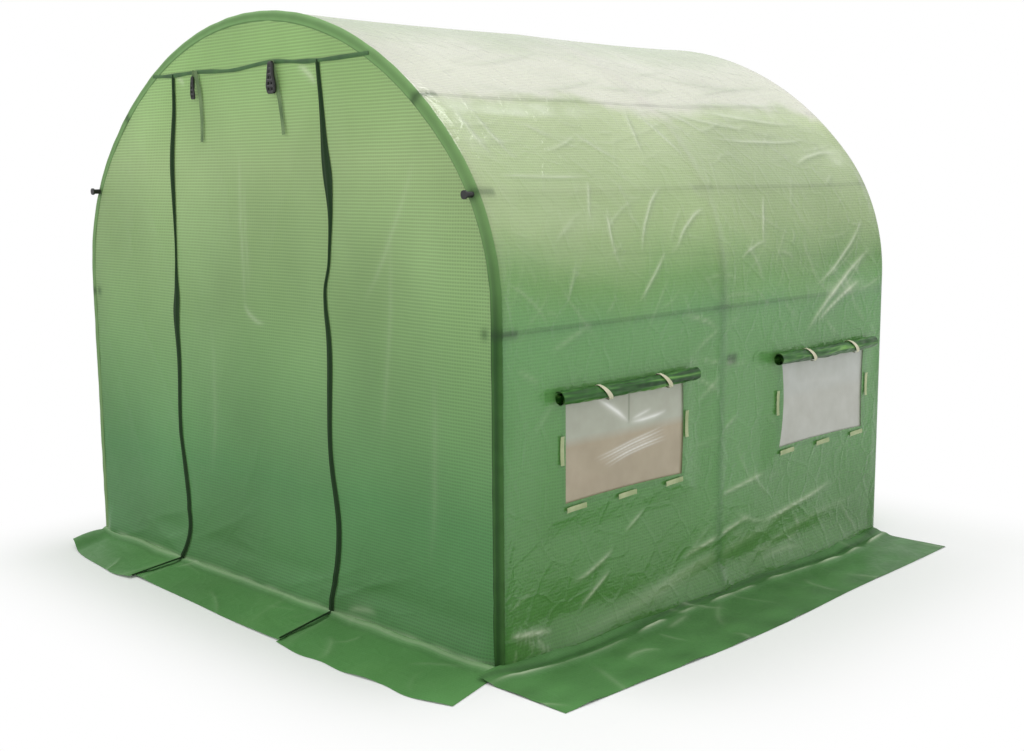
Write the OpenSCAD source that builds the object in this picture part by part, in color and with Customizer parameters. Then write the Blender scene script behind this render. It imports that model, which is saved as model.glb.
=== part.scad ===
// Walk-in polytunnel greenhouse: a bent steel tube frame under a green woven cover.
// Front (zipped door) at -Y, windowed side shown at +X, +Z up, all sizes in mm.
// Origin: ground level, middle of the whole footprint with the spread skirts.

/* [Tunnel] */
// width across the outside of the cover
tunnel_w = 2360; // [2000:10:3000]
// length from the front panel to the back panel
tunnel_l = 2150; // [1800:10:4000]
// height of the straight part of the side walls
wall_h = 1050; // [900:10:1200]
// rise of the arch above the side walls
arch_h = 950; // [750:10:1100]
// angle through which each shoulder tube is bent before the flatter crown begins
shoulder_bend = 40; // [32:1:46]

/* [Frame] */
// outside diameter of the hoop tubes
hoop_d = 25; // [19:1:32]
// outside diameter of the rails that tie the hoops
rail_d = 19; // [16:1:28]
// gap from the top of the side walls down to the waist rails
waist_gap = 50; // [48:1:200]
// place of the shoulder rails on the shoulder bend, as an angle from the wall
shoulder_rail_ang = 28.5; // [10:0.5:29]
// place of the roof rails on the crown, as an angle from the horizontal
roof_rail_ang = 50; // [49:1:70]
// gap from the waist rails down to the inner cover ties on the middle legs
tie_gap = 195; // [80:5:400]
// wall thickness of the plastic cross fittings
fitting_wall = 2.5; // [2:0.5:4]
// length of each fitting's arms from the hoop's middle
fitting_arm = 45; // [30:1:70]

/* [Cover] */
// thickness of the cover panels
cover_t = 3; // [2:0.5:6]
// clearance between the cover and the fittings it rests on
cover_gap = 0.3; // [0.2:0.1:2]
// width of the hem tape round the front arch
hem_w = 34; // [20:1:60]
// thickness of hem, straps and other flat tapes
tape_t = 2; // [1:0.5:4]

/* [Door] */
// left zip, distance from the tunnel's middle
zip_left_x = 540; // [400:5:700]
// right zip, distance from the tunnel's middle
zip_right_x = 385; // [300:5:600]
// width of a closed zip
zip_w = 26; // [14:1:40]
// height of the top panel, from the door's header seam to the ridge
top_panel_h = 180; // [120:5:300]
// width of the header tape
header_w = 16; // [10:1:40]
// left door strap, distance from the middle
strap_left_x = 340; // [200:5:420]
// right door strap, distance from the middle
strap_right_x = 140; // [60:5:260]
// length of the hanging door straps
strap_l = 225; // [120:5:300]

/* [Windows] */
// gap from the front panel to the front window
window_front_gap = 278; // [160:1:300]
// gap from the back window to the back panel
window_back_gap = 142; // [120:1:300]
// length of a window
window_l = 575; // [400:5:620]
// height of a window
window_h = 335; // [240:5:400]
// height of the window sill above ground
sill_z = 460; // [350:5:560]
// length of a rolled-up window flap
roll_l = 690; // [520:5:720]
// diameter of a rolled-up window flap
roll_d = 46; // [34:1:64]
// half turns of cloth in a rolled-up flap
roll_half_turns = 5; // [2:1:6]
// thickness of the rolled flap's cloth
roll_cloth_t = 3; // [1:0.5:4]
// air between the turns of a rolled flap
roll_air = 1.6; // [0.6:0.1:3]
// width of the flap's tie tapes
roll_tie_w = 18; // [10:1:30]

/* [Skirts] */
// reach of the side skirts on the ground
side_skirt_w = 300; // [200:5:400]
// reach of the front skirt flaps on the ground
front_skirt_w = 270; // [200:5:400]
// how far a skirt runs on past the tunnel's corner
skirt_corner = 60; // [30:5:120]
// how far the left flap's outer corner is cut back
skirt_mitre = 150; // [50:5:220]

/* [Hidden] */
$fn = 96;
arch_fn = 360;
half_w = tunnel_w / 2;
half_l = tunnel_l / 2;
tunnel_h = wall_h + arch_h;
header_z = tunnel_h - top_panel_h;
waist_z = wall_h - waist_gap;
tie_z = waist_z - tie_gap;
// three-centred arch: the shoulder and crown arcs meet smoothly at the end of the shoulder bend
bend_share = (1 - sin(shoulder_bend)) / cos(shoulder_bend);
shoulder_r = (arch_h - half_w * bend_share) / (1 - bend_share);
shoulder_cx = half_w - shoulder_r;
crown_r = shoulder_r + shoulder_cx / cos(shoulder_bend);
crown_cz = tunnel_h - crown_r;
// hoop tubes: their middle line lies this far inside the outer cover
fit_gap = 0.2;
fitting_d = hoop_d + 2 * (fitting_wall + fit_gap);
socket_d = rail_d + 2 * (fitting_wall + fit_gap);
hoop_in = cover_t + cover_gap + fitting_d / 2;
hoop_x = half_w - hoop_in;
hoop_r1 = shoulder_r - hoop_in;
hoop_r2 = crown_r - hoop_in;
end_y = half_l - hoop_in;
hoop_y = [-end_y, 0, end_y];
// rails: places on the hoop line, right side
shoulder_x = shoulder_cx + hoop_r1 * cos(shoulder_rail_ang);
shoulder_z = wall_h + hoop_r1 * sin(shoulder_rail_ang);
roof_x = hoop_r2 * cos(roof_rail_ang);
roof_z = crown_cz + hoop_r2 * sin(roof_rail_ang);
ridge_ang = 90;
rail_stop = hoop_d / 2 + 1;
// half the angle between the crown halves inside the ridge fitting
crown_joint = 0.02;
// front clips stand out of the front panel
clip_d = 18;
clip_out = 34;
clip_head_d = 26;
clip_head_t = 6;
tie_h = 24;
tie_stub_d = 16;
tie_stub_l = 55;
// zip coil: a round ridge down the middle of the zip's tape
coil_d = 7;
// door straps and their ladder buckles
strap_w = 14;
buckle_w = 26;
buckle_h = 42;
buckle_t = 8;
buckle_bar = 5;
tab_l = 90;
tab_h = 20;
tab_gap = 8;
window_z = sill_z + window_h / 2;
window_front_y = -half_l + window_front_gap + window_l / 2;
window_back_y = half_l - window_back_gap - window_l / 2;
pane_lap = 12;
roll_x = half_w + tape_t + cover_gap + roll_d / 2;
roll_z = sill_z + window_h;
// each half turn of a roll is this much tighter, so a whole turn clears the one outside it
roll_step = (roll_cloth_t + roll_air) / 2;
tuck_gap = 2;
// the ground origin is the middle of the footprint: right skirt to left window rolls
roll_reach = roll_x + roll_d / 2 + fit_gap + tape_t - half_w;
mid_x = (side_skirt_w - roll_reach) / 2;
mid_y = -front_skirt_w / 2;

// moves the tunnel so that the footprint's middle is the origin
module footed() {
  translate([-mid_x, -mid_y, 0]) children();
}

// a flat X-Z shape made into a panel from y0 to y0 + t
module upright(y0, t) {
  translate([0, y0 + t, 0]) rotate([90, 0, 0]) linear_extrude(height = t) children();
}

// both sides of the tunnel
module both_sides() {
  children();
  mirror([1, 0, 0]) children();
}

// one side of the hoop: an arc of round bar in the X-Z plane
module arc_bar(cx, cz, r, a0, a1, d) {
  translate([cx, 0, cz]) rotate([90, 0, 0]) rotate([0, 0, a0])
    rotate_extrude(angle = a1 - a0) translate([r, 0]) circle(d = d);
}

// an arc of cover sheet running the length of the tunnel
module arc_sheet(cx, cz, r, a0, a1) {
  translate([cx, 0, cz]) rotate([90, 0, 0]) rotate([0, 0, a0])
    rotate_extrude(angle = a1 - a0, $fn = arch_fn)
      translate([r - cover_t, -(half_l - cover_t)]) square([cover_t, tunnel_l - 2 * cover_t]);
}

// the tunnel's section, inset all round by d; the shoulder sectors lap a little under their neighbours
module arch(d) {
  far = 3 * tunnel_h;
  lap = 3;
  translate([-(half_w - d), 0]) square([2 * (half_w - d), wall_h]);
  for (s = [-1, 1]) translate([s * shoulder_cx, wall_h]) intersection() {
    circle(r = shoulder_r - d, $fn = arch_fn);
    polygon([[-s * far * sin(lap), 0],
             [s * far * cos(lap), -far * sin(lap)],
             [s * far * cos(shoulder_bend + lap), far * sin(shoulder_bend + lap)]]);
  }
  intersection() {
    translate([0, crown_cz]) circle(r = crown_r - d, $fn = arch_fn);
    polygon([[0, crown_cz],
             [far * cos(shoulder_bend), crown_cz + far * sin(shoulder_bend)],
             [-far * cos(shoulder_bend), crown_cz + far * sin(shoulder_bend)]]);
  }
}

// frame: each hoop is two legs, two bent shoulders and two crown halves
module leg_pair(y) {
  color([0.62, 0.64, 0.64]) both_sides()
    translate([hoop_x, y, 0]) cylinder(d = hoop_d, h = wall_h);
}

module shoulder_pair(y) {
  color([0.62, 0.64, 0.64]) both_sides()
    translate([0, y, 0]) arc_bar(shoulder_cx, wall_h, hoop_r1, 0, shoulder_bend, hoop_d);
}

module crown_pair(y) {
  color([0.62, 0.64, 0.64]) both_sides()
    translate([0, y, 0]) arc_bar(0, crown_cz, hoop_r2, shoulder_bend, ridge_ang - crown_joint, hoop_d);
}

// arms of a fitting that hold the rails, towards the tunnel's inside only at the ends
module rail_arms(y, d) {
  back_arm = (y > 1) ? 0 : fitting_arm;
  front_arm = (y < -1) ? 0 : fitting_arm;
  translate([0, -front_arm, 0]) rotate([-90, 0, 0]) cylinder(d = d, h = front_arm + back_arm);
}

module leg_fitting(y) {
  translate([hoop_x, y, waist_z]) difference() {
    union() {
      translate([0, 0, -fitting_arm]) cylinder(d = fitting_d, h = 2 * fitting_arm);
      rail_arms(y, socket_d);
    }
    translate([0, 0, -fitting_arm - 1]) cylinder(d = hoop_d + 2 * fit_gap, h = 2 * fitting_arm + 2);
    rail_arms(y, rail_d + 2 * fit_gap);
  }
}

module bend_fitting(y, cx, cz, r, a) {
  half = fitting_arm / r * 180 / PI;
  translate([0, y, 0]) difference() {
    union() {
      arc_bar(cx, cz, r, a - half, a + half, fitting_d);
      translate([cx + r * cos(a), 0, cz + r * sin(a)]) rail_arms(y, socket_d);
    }
    arc_bar(cx, cz, r, a - half - 1, a + half + 1, hoop_d + 2 * fit_gap);
    translate([cx + r * cos(a), 0, cz + r * sin(a)]) rail_arms(y, rail_d + 2 * fit_gap);
  }
}

module hoop_fittings(y) {
  color([0.16, 0.17, 0.17]) {
    both_sides() {
      leg_fitting(y);
      bend_fitting(y, shoulder_cx, wall_h, hoop_r1, shoulder_rail_ang);
      bend_fitting(y, 0, crown_cz, hoop_r2, roof_rail_ang);
    }
    bend_fitting(y, 0, crown_cz, hoop_r2, ridge_ang);
  }
}

// black plugs on the shoulder fittings that stand out of the front panel
module front_clips() {
  color([0.05, 0.05, 0.05]) both_sides()
    translate([shoulder_x, -half_l - clip_out, shoulder_z]) rotate([-90, 0, 0]) {
      cylinder(d = clip_d, h = clip_out + cover_t + cover_gap);
      cylinder(d = clip_head_d, h = clip_head_t);
    }
}

// clip rings on the middle legs that hold the cover's inner tie
module leg_ties() {
  color([0.1, 0.28, 0.12]) both_sides() translate([hoop_x, 0, tie_z]) difference() {
    union() {
      cylinder(d = fitting_d, h = tie_h);
      translate([0, 0, tie_h / 2]) rotate([-90, 0, 0]) cylinder(d = tie_stub_d, h = tie_stub_l);
    }
    translate([0, 0, -1]) cylinder(d = hoop_d + 2 * fit_gap, h = tie_h + 2);
  }
}

// rails: one length of tube in each bay, from hoop to hoop
module bay_rails(x, z) {
  for (i = [0, 1])
    translate([x, hoop_y[i] + rail_stop, z]) rotate([-90, 0, 0])
      cylinder(d = rail_d, h = hoop_y[i + 1] - hoop_y[i] - 2 * rail_stop);
}

module waist_rails() {
  color([0.62, 0.64, 0.64]) both_sides() bay_rails(hoop_x, waist_z);
}

module shoulder_rails() {
  color([0.62, 0.64, 0.64]) both_sides() bay_rails(shoulder_x, shoulder_z);
}

module roof_rails() {
  color([0.62, 0.64, 0.64]) both_sides() bay_rails(roof_x, roof_z);
}

module ridge_rail() {
  color([0.62, 0.64, 0.64]) bay_rails(0, crown_cz + hoop_r2);
}

// side wall with both window openings, drawn on the right
module side_wall() {
  color([0.36, 0.66, 0.36]) difference() {
    translate([half_w - cover_t, -half_l + cover_t, 0])
      cube([cover_t, tunnel_l - 2 * cover_t, wall_h]);
    for (y = [window_front_y, window_back_y])
      translate([half_w - 2 * cover_t, y - window_l / 2, sill_z])
        cube([3 * cover_t, window_l, window_h]);
  }
}

module right_wall() {
  side_wall();
}

module left_wall() {
  mirror([1, 0, 0]) side_wall();
}

module right_shoulder_cover() {
  color([0.5, 0.76, 0.44]) arc_sheet(shoulder_cx, wall_h, shoulder_r, 0, shoulder_bend);
}

module left_shoulder_cover() {
  color([0.5, 0.76, 0.44]) mirror([1, 0, 0]) arc_sheet(shoulder_cx, wall_h, shoulder_r, 0, shoulder_bend);
}

module crown_cover() {
  color([0.62, 0.82, 0.55]) arc_sheet(0, crown_cz, crown_r, shoulder_bend, 2 * ridge_ang - shoulder_bend);
}

// front panel: the arch cut into side panels, door and top by zips and header
module front_cut(x0, x1, z0, z1) {
  intersection() {
    upright(-half_l, cover_t) arch(0);
    translate([x0, -half_l - 1, z0]) cube([x1 - x0, cover_t + 2, z1 - z0]);
  }
}

module clip_holes() {
  both_sides() translate([shoulder_x, -half_l - 1, shoulder_z]) rotate([-90, 0, 0])
    cylinder(d = clip_d + 2 * fit_gap, h = cover_t + 2);
}

module front_left_panel() {
  color([0.45, 0.72, 0.42]) difference() {
    front_cut(-half_w, -zip_left_x - zip_w / 2, 0, header_z - header_w / 2);
    clip_holes();
  }
}

module front_right_panel() {
  color([0.45, 0.72, 0.42]) difference() {
    front_cut(zip_right_x + zip_w / 2, half_w, 0, header_z - header_w / 2);
    clip_holes();
  }
}

module front_top_panel() {
  color([0.5, 0.76, 0.46]) front_cut(-half_w, half_w, header_z + header_w / 2, tunnel_h);
}

module door_panel() {
  color([0.45, 0.72, 0.42])
    front_cut(-zip_left_x + zip_w / 2, zip_right_x - zip_w / 2, 0, header_z - header_w / 2);
}

module back_panel() {
  color([0.45, 0.72, 0.42]) upright(half_l - cover_t, cover_t) arch(0);
}

// hem tape on the front panel along the hoop, clear of the ground
module front_hem() {
  color([0.22, 0.45, 0.2]) difference() {
    upright(-half_l - tape_t, tape_t) difference() {
      arch(0);
      arch(hem_w);
    }
    translate([-half_w - 1, -half_l - tape_t - 1, -1]) cube([tunnel_w + 2, tape_t + 2, 2 * cover_t + 1]);
    translate([0, -tape_t, 0]) clip_holes();
  }
}

// a closed zip: flat tape between the panels with the coil standing proud
module zip_strip(x) {
  zip_l = header_z - header_w / 2 - cover_t;
  color([0.05, 0.16, 0.07]) translate([x, -half_l, cover_t]) {
    translate([-zip_w / 2, 0, 0]) cube([zip_w, cover_t, zip_l]);
    intersection() {
      cylinder(d = coil_d, h = zip_l);
      translate([-coil_d, -coil_d, 0]) cube([2 * coil_d, coil_d + cover_t / 2, zip_l]);
    }
  }
}

module left_zip() {
  zip_strip(-zip_left_x);
}

module right_zip() {
  zip_strip(zip_right_x);
}

module door_header() {
  color([0.2, 0.42, 0.18])
    front_cut(-half_w, half_w, header_z - header_w / 2, header_z + header_w / 2);
}

// straps that hold the rolled-up door, hanging from the header
module door_straps() {
  color([0.12, 0.3, 0.12]) for (x = [-strap_left_x, strap_right_x])
    translate([x - strap_w / 2, -half_l - tape_t, header_z + header_w / 2 - strap_l])
      cube([strap_w, tape_t, strap_l]);
}

// ladder buckles: a frame with a middle bar, threaded on the strap
module strap_buckles() {
  slot_h = (buckle_h - 3 * buckle_bar) / 2;
  color([0.04, 0.04, 0.04]) for (x = [-strap_left_x, strap_right_x])
    translate([x, -half_l - tape_t, header_z - header_w - buckle_h]) difference() {
      translate([-buckle_w / 2, -buckle_t, 0]) cube([buckle_w, buckle_t, buckle_h]);
      for (i = [0, 1])
        translate([-strap_w / 2, -buckle_t - 1, buckle_bar + i * (slot_h + buckle_bar)])
          cube([strap_w, buckle_t + 2, slot_h]);
    }
}

// windows, drawn on the right side and mirrored for the left
module window_panes() {
  color([0.8, 0.82, 0.78, 0.7]) for (y = [window_front_y, window_back_y])
    translate([half_w - cover_t - tape_t, y - window_l / 2 - pane_lap, sill_z - pane_lap])
      cube([tape_t, window_l + 2 * pane_lap, window_h + 2 * pane_lap]);
}

// half a turn of rolled cloth, the upper half for even turns and the lower for odd ones
module half_turn(i) {
  r = roll_d / 2 - i * roll_step;
  side = (i % 2 == 0) ? 0 : -1;
  translate([side * roll_step, 0]) intersection() {
    difference() {
      circle(r = r);
      circle(r = r - roll_cloth_t);
    }
    translate([-roll_d, side * 2 * roll_d]) square([2 * roll_d, 2 * roll_d]);
  }
}

// the flap rolled up from its lower edge: a spiral of half turns, each a step tighter than the last
module window_rolls() {
  color([0.16, 0.42, 0.18]) for (y = [window_front_y, window_back_y])
    translate([roll_x, y + roll_l / 2, roll_z]) rotate([90, 0, 0])
      linear_extrude(height = roll_l) for (i = [0 : roll_half_turns - 1]) half_turn(i);
}

module roll_ties() {
  color([0.9, 0.9, 0.78]) for (y = [window_front_y, window_back_y]) for (f = [-0.2, 0.25])
    translate([roll_x, y + f * roll_l - roll_tie_w / 2, roll_z]) rotate([-90, 0, 0]) difference() {
      cylinder(d = roll_d + 2 * tape_t + 2 * fit_gap, h = roll_tie_w);
      translate([0, 0, -1]) cylinder(d = roll_d + 2 * fit_gap, h = roll_tie_w + 2);
    }
}

module window_tabs() {
  color([0.78, 0.82, 0.66]) for (y = [window_front_y, window_back_y]) translate([half_w, y, 0]) {
    for (f = [-0.5, 0, 0.5])
      translate([0, f * (window_l - tab_l) - tab_l / 2, sill_z - tab_h - tab_gap]) cube([tape_t, tab_l, tab_h]);
    for (s = [-1, 1])
      translate([0, s * (window_l / 2 + tab_h / 2 + tab_gap) - tab_h / 2, window_z - tab_l / 2])
        cube([tape_t, tab_h, tab_l]);
  }
}

module right_window_panes() {
  window_panes();
}

module left_window_panes() {
  mirror([1, 0, 0]) window_panes();
}

module right_window_rolls() {
  window_rolls();
}

module left_window_rolls() {
  mirror([1, 0, 0]) window_rolls();
}

module right_roll_ties() {
  roll_ties();
}

module left_roll_ties() {
  mirror([1, 0, 0]) roll_ties();
}

module right_window_tabs() {
  window_tabs();
}

module left_window_tabs() {
  mirror([1, 0, 0]) window_tabs();
}

// skirts: flat flaps on the ground, split under the zips
module flap(points) {
  color([0.2, 0.5, 0.2]) linear_extrude(height = cover_t) polygon(points);
}

module front_left_skirt() {
  flap([[-half_w, -half_l],
        [-half_w + skirt_mitre, -half_l - front_skirt_w],
        [-zip_left_x - zip_w / 2, -half_l - front_skirt_w],
        [-zip_left_x - zip_w / 2, -half_l]]);
}

module door_skirt() {
  flap([[-zip_left_x + zip_w / 2, -half_l],
        [-zip_left_x + zip_w / 2, -half_l - front_skirt_w],
        [zip_right_x - zip_w / 2, -half_l - front_skirt_w],
        [zip_right_x - zip_w / 2, -half_l]]);
}

module front_right_skirt() {
  flap([[zip_right_x + zip_w / 2, -half_l],
        [zip_right_x + zip_w / 2, -half_l - front_skirt_w],
        [half_w + skirt_corner, -half_l - front_skirt_w],
        [half_w + skirt_corner, -half_l - skirt_corner],
        [half_w, -half_l - skirt_corner],
        [half_w, -half_l]]);
}

module right_skirt() {
  flap([[half_w, -half_l - skirt_corner],
        [half_w + side_skirt_w, -half_l - skirt_corner],
        [half_w + side_skirt_w, half_l],
        [half_w, half_l]]);
}

// tucked in under the left wall, one piece in each bay
module left_skirt() {
  in_x = -half_w + cover_t;
  stop = hoop_d / 2 + tuck_gap;
  for (i = [0, 1]) {
    y0 = hoop_y[i] + stop;
    y1 = (i == 0) ? -stop : half_l - cover_t - front_skirt_w - tuck_gap;
    flap([[in_x, y0], [in_x + side_skirt_w, y0], [in_x + side_skirt_w, y1], [in_x, y1]]);
  }
}

// tucked in under the back panel, between the legs
module back_skirt() {
  in_y = half_l - cover_t;
  reach = hoop_x - hoop_d / 2 - tuck_gap;
  flap([[-reach, in_y - front_skirt_w], [reach, in_y - front_skirt_w], [reach, in_y], [-reach, in_y]]);
}

footed() leg_pair(hoop_y[0]);  // front_legs
footed() leg_pair(hoop_y[1]);  // middle_legs
footed() leg_pair(hoop_y[2]);  // back_legs
footed() shoulder_pair(hoop_y[0]);  // front_shoulders
footed() shoulder_pair(hoop_y[1]);  // middle_shoulders
footed() shoulder_pair(hoop_y[2]);  // back_shoulders
footed() crown_pair(hoop_y[0]);  // front_crown
footed() crown_pair(hoop_y[1]);  // middle_crown
footed() crown_pair(hoop_y[2]);  // back_crown
footed() hoop_fittings(hoop_y[0]);  // front_fittings
footed() hoop_fittings(hoop_y[1]);  // middle_fittings
footed() hoop_fittings(hoop_y[2]);  // back_fittings
footed() front_clips();
footed() leg_ties();
footed() waist_rails();
footed() shoulder_rails();
footed() roof_rails();
footed() ridge_rail();
footed() right_wall();
footed() left_wall();
footed() right_shoulder_cover();
footed() left_shoulder_cover();
footed() crown_cover();
footed() front_left_panel();
footed() front_right_panel();
footed() front_top_panel();
footed() door_panel();
footed() back_panel();
footed() front_hem();
footed() left_zip();
footed() right_zip();
footed() door_header();
footed() door_straps();
footed() strap_buckles();
footed() right_window_panes();
footed() left_window_panes();
footed() right_window_rolls();
footed() left_window_rolls();
footed() right_roll_ties();
footed() left_roll_ties();
footed() right_window_tabs();
footed() left_window_tabs();
footed() front_left_skirt();
footed() door_skirt();
footed() front_right_skirt();
footed() right_skirt();
footed() left_skirt();
footed() back_skirt();
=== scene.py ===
"""A walk-in polytunnel greenhouse: steel hoops under a woven green cover, in the order it is put up."""

import math

import bpy
import numpy as np
from mathutils import Matrix, Vector


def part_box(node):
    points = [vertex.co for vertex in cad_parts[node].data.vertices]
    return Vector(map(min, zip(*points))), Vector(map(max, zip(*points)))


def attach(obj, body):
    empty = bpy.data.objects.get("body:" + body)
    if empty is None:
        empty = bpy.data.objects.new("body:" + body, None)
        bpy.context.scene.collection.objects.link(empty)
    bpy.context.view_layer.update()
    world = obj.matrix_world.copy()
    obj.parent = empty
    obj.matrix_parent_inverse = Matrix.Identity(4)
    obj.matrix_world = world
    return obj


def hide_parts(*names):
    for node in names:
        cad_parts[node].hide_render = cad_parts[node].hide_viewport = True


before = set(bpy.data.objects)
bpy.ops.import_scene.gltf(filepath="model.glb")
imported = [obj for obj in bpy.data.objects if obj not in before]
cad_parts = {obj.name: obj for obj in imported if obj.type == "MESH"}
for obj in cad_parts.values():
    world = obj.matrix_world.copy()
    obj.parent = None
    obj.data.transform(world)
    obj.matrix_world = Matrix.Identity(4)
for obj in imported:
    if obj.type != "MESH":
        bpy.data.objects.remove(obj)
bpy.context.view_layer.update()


# FRAME TUBES
# Three hoops and seven runs of rail, thin steel tube bent cold and pushed into cross fittings.
# The zinc coating is dull grey with a faint mottle and drawn streaks along each tube.
def rgb(red, green, blue):
    """A colour in ordinary 0 to 255 screen values, as the shader wants it."""
    screen = np.array([red, green, blue]) / 255
    linear = np.where(screen <= 0.04045, screen / 12.92, ((screen + 0.055) / 1.055) ** 2.4)
    return (*linear.tolist(), 1.0)


def material(name):
    """A new material with an empty node tree."""
    made = bpy.data.materials.new(name)
    made.use_nodes = True
    made.node_tree.nodes.clear()
    return made


def node(mat, kind, inputs=None, output=None, **settings):
    """Adds a shader node and gives the output asked for; an input is a value or an output wired to it."""
    added = mat.node_tree.nodes.new("ShaderNode" + kind)
    for key, value in settings.items():
        setattr(added, key, value)
    for key, value in (inputs or {}).items():
        if isinstance(value, bpy.types.NodeSocket):
            mat.node_tree.links.new(value, added.inputs[key])
        else:
            added.inputs[key].default_value = value
    # the output that is meant where it is not the first
    if output is None:
        output = {"Mix": 2, "TexWave": "Fac", "Attribute": "Fac"}.get(kind, 0)
    return added.outputs[output] if len(added.outputs) else None


def surface(mat, shader):
    """Ends a material with its shader."""
    node(mat, "OutputMaterial", {"Surface": shader})
    return mat


def noise(mat, at, scale, detail, output="Fac", **more):
    """Cloudy unevenness over a surface."""
    return node(mat, "TexNoise", {"Vector": at, "Scale": scale, "Detail": detail, **more}, output)


def ramp(mat, factor, stops):
    """A colour ramp through (position, colour) stops."""
    colours = node(mat, "ValToRGB", {"Fac": factor})
    elements = colours.node.color_ramp.elements
    while len(elements) < len(stops):
        elements.new(0.5)
    for element, (position, colour) in zip(elements, stops):
        element.position = position
        element.color = colour
    return colours


def between(mat, value, low, high):
    """A value from 0 to 1 brought between two others."""
    return node(mat, "MapRange", {"Value": value, "To Min": low, "To Max": high})


def bump(mat, height, strength, distance, **under):
    """Fine relief, on its own or over another relief's normal."""
    return node(mat, "Bump", {"Height": height, "Strength": strength, "Distance": distance, **under})


def finish_nodes(mat, *names):
    """Gives CAD nodes a material through their own slots."""
    for name in names:
        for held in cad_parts[name].material_slots:
            held.link = "OBJECT"
            held.material = mat


zinc = material("galvanised_tube")
zinc_at = node(zinc, "TexCoord", output="Object")
zinc_mottle = noise(zinc, zinc_at, 55, 4, Roughness=0.6)
zinc_streak = noise(zinc, zinc_at, 9, 2, Distortion=1.5)
surface(zinc, node(zinc, "BsdfPrincipled", {
    "Base Color": ramp(zinc, zinc_mottle, [(0.3, rgb(142, 147, 148)), (0.7, rgb(176, 180, 180))]),
    "Metallic": 0.85,
    "Roughness": between(zinc, zinc_streak, 0.32, 0.58),
    "Normal": bump(zinc, zinc_mottle, 0.15, 0.0006),
}))
for hoop in ("front", "middle", "back"):
    finish_nodes(zinc, f"{hoop}_legs", f"{hoop}_shoulders", f"{hoop}_crown")
finish_nodes(zinc, "waist_rails", "shoulder_rails", "roof_rails", "ridge_rail")


# FITTINGS, CLIPS AND TIES
# Injection-moulded cross fittings, black plugs that hold the front panel to the shoulder fittings,
# and green snap rings on the middle legs. Satin plastic with a fine spark-eroded grain.
def moulded(name, dark, light):
    """Moulded plastic between two close tones, with a fine grain and slight sink marks."""
    mat = material(name)
    at = node(mat, "TexCoord", output="Object")
    sink = noise(mat, at, 30, 3)
    return surface(mat, node(mat, "BsdfPrincipled", {
        "Base Color": ramp(mat, sink, [(0.35, dark), (0.7, light)]),
        "Roughness": between(mat, sink, 0.36, 0.56),
        "Normal": bump(mat, noise(mat, at, 900, 2), 0.12, 0.0004),
    }))


black_plastic = moulded("black_plastic", rgb(20, 21, 20), rgb(38, 40, 38))
finish_nodes(black_plastic, "front_fittings", "middle_fittings", "back_fittings", "front_clips")
finish_nodes(moulded("green_plastic", rgb(24, 62, 30), rgb(38, 84, 42)), "leg_ties")


# TUNNEL COVER
# Woven polyethylene film laid over the hoops from ground to ground, two widths welded along the ridge, with
# windows cut in its walls. It rides on hoops and rails, sags between them and keeps its packing creases.
thread_pitch = 0.0105
hoop_round = 0.018
back_lap = 0.016
ridge_lap = 0.010
rest_lift = -0.0025
rail_lift = -0.0035
window_lift = -0.001
bay_sag = 0.012
window_ease = 0.12
rail_reach = 0.05
slack_rise = 0.004
slack_in = -0.010
slack_out = 0.016
foot_slack = 0.006
foot_h = 0.55
crown_ease = 0.25
kick_out = 0.034
kick_h = 0.13
kick_ease = 0.3
pull_near = 0.02
pull_far = 0.20
cover_seed = 11


def middle(name, axis):
    """The middle of a solid along x, y or z, given as 0, 1 or 2."""
    low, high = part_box(name)
    return (low[axis] + high[axis]) / 2


back_low, back_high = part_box("back_panel")
front_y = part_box("door_panel")[0][1]
back_y = back_high[1]
mid_x = middle("back_panel", 0)
mid_y = (front_y + back_y) / 2
half_w = (back_high[0] - back_low[0]) / 2
half_l = (back_y - front_y) / 2
wall_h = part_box("right_wall")[1][2]
ridge_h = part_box("crown_cover")[1][2]

# the three-centred arch again, from where its shoulder and crown sheets meet
meet_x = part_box("crown_cover")[1][0] - mid_x
meet_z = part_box("right_shoulder_cover")[1][2]
shoulder_r = ((half_w - meet_x) ** 2 + (meet_z - wall_h) ** 2) / (2 * (half_w - meet_x))
shoulder_cx = half_w - shoulder_r
bend = math.atan2(meet_z - wall_h, meet_x - shoulder_cx)
crown_r = shoulder_r + shoulder_cx / math.cos(bend)
crown_cz = ridge_h - crown_r
shoulder_end = wall_h + shoulder_r * bend
ridge_s = shoulder_end + crown_r * (math.pi / 2 - bend)
girth = 2 * ridge_s


def section(s):
    """Point (x, z) and outward direction on the tunnel's section, s metres of cloth from the right foot."""
    side = np.where(s <= ridge_s, 1.0, -1.0)
    up = np.minimum(s, girth - s)
    turn = np.where(up < wall_h, 0.0, (up - wall_h) / shoulder_r)
    turn = np.where(up > shoulder_end, bend + (up - shoulder_end) / crown_r, turn)
    radius = np.where(up > shoulder_end, crown_r, shoulder_r)
    x = np.where(up > shoulder_end, 0.0, shoulder_cx) + radius * np.cos(turn)
    z = np.where(up > shoulder_end, crown_cz, wall_h) + radius * np.sin(turn)
    z = np.where(up < wall_h, up, z)
    return side * x, z, side * np.cos(turn), np.sin(turn)


def joined(*parts):
    """Coordinates side by side, as an array of points."""
    return np.stack(parts, axis=-1)


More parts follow.
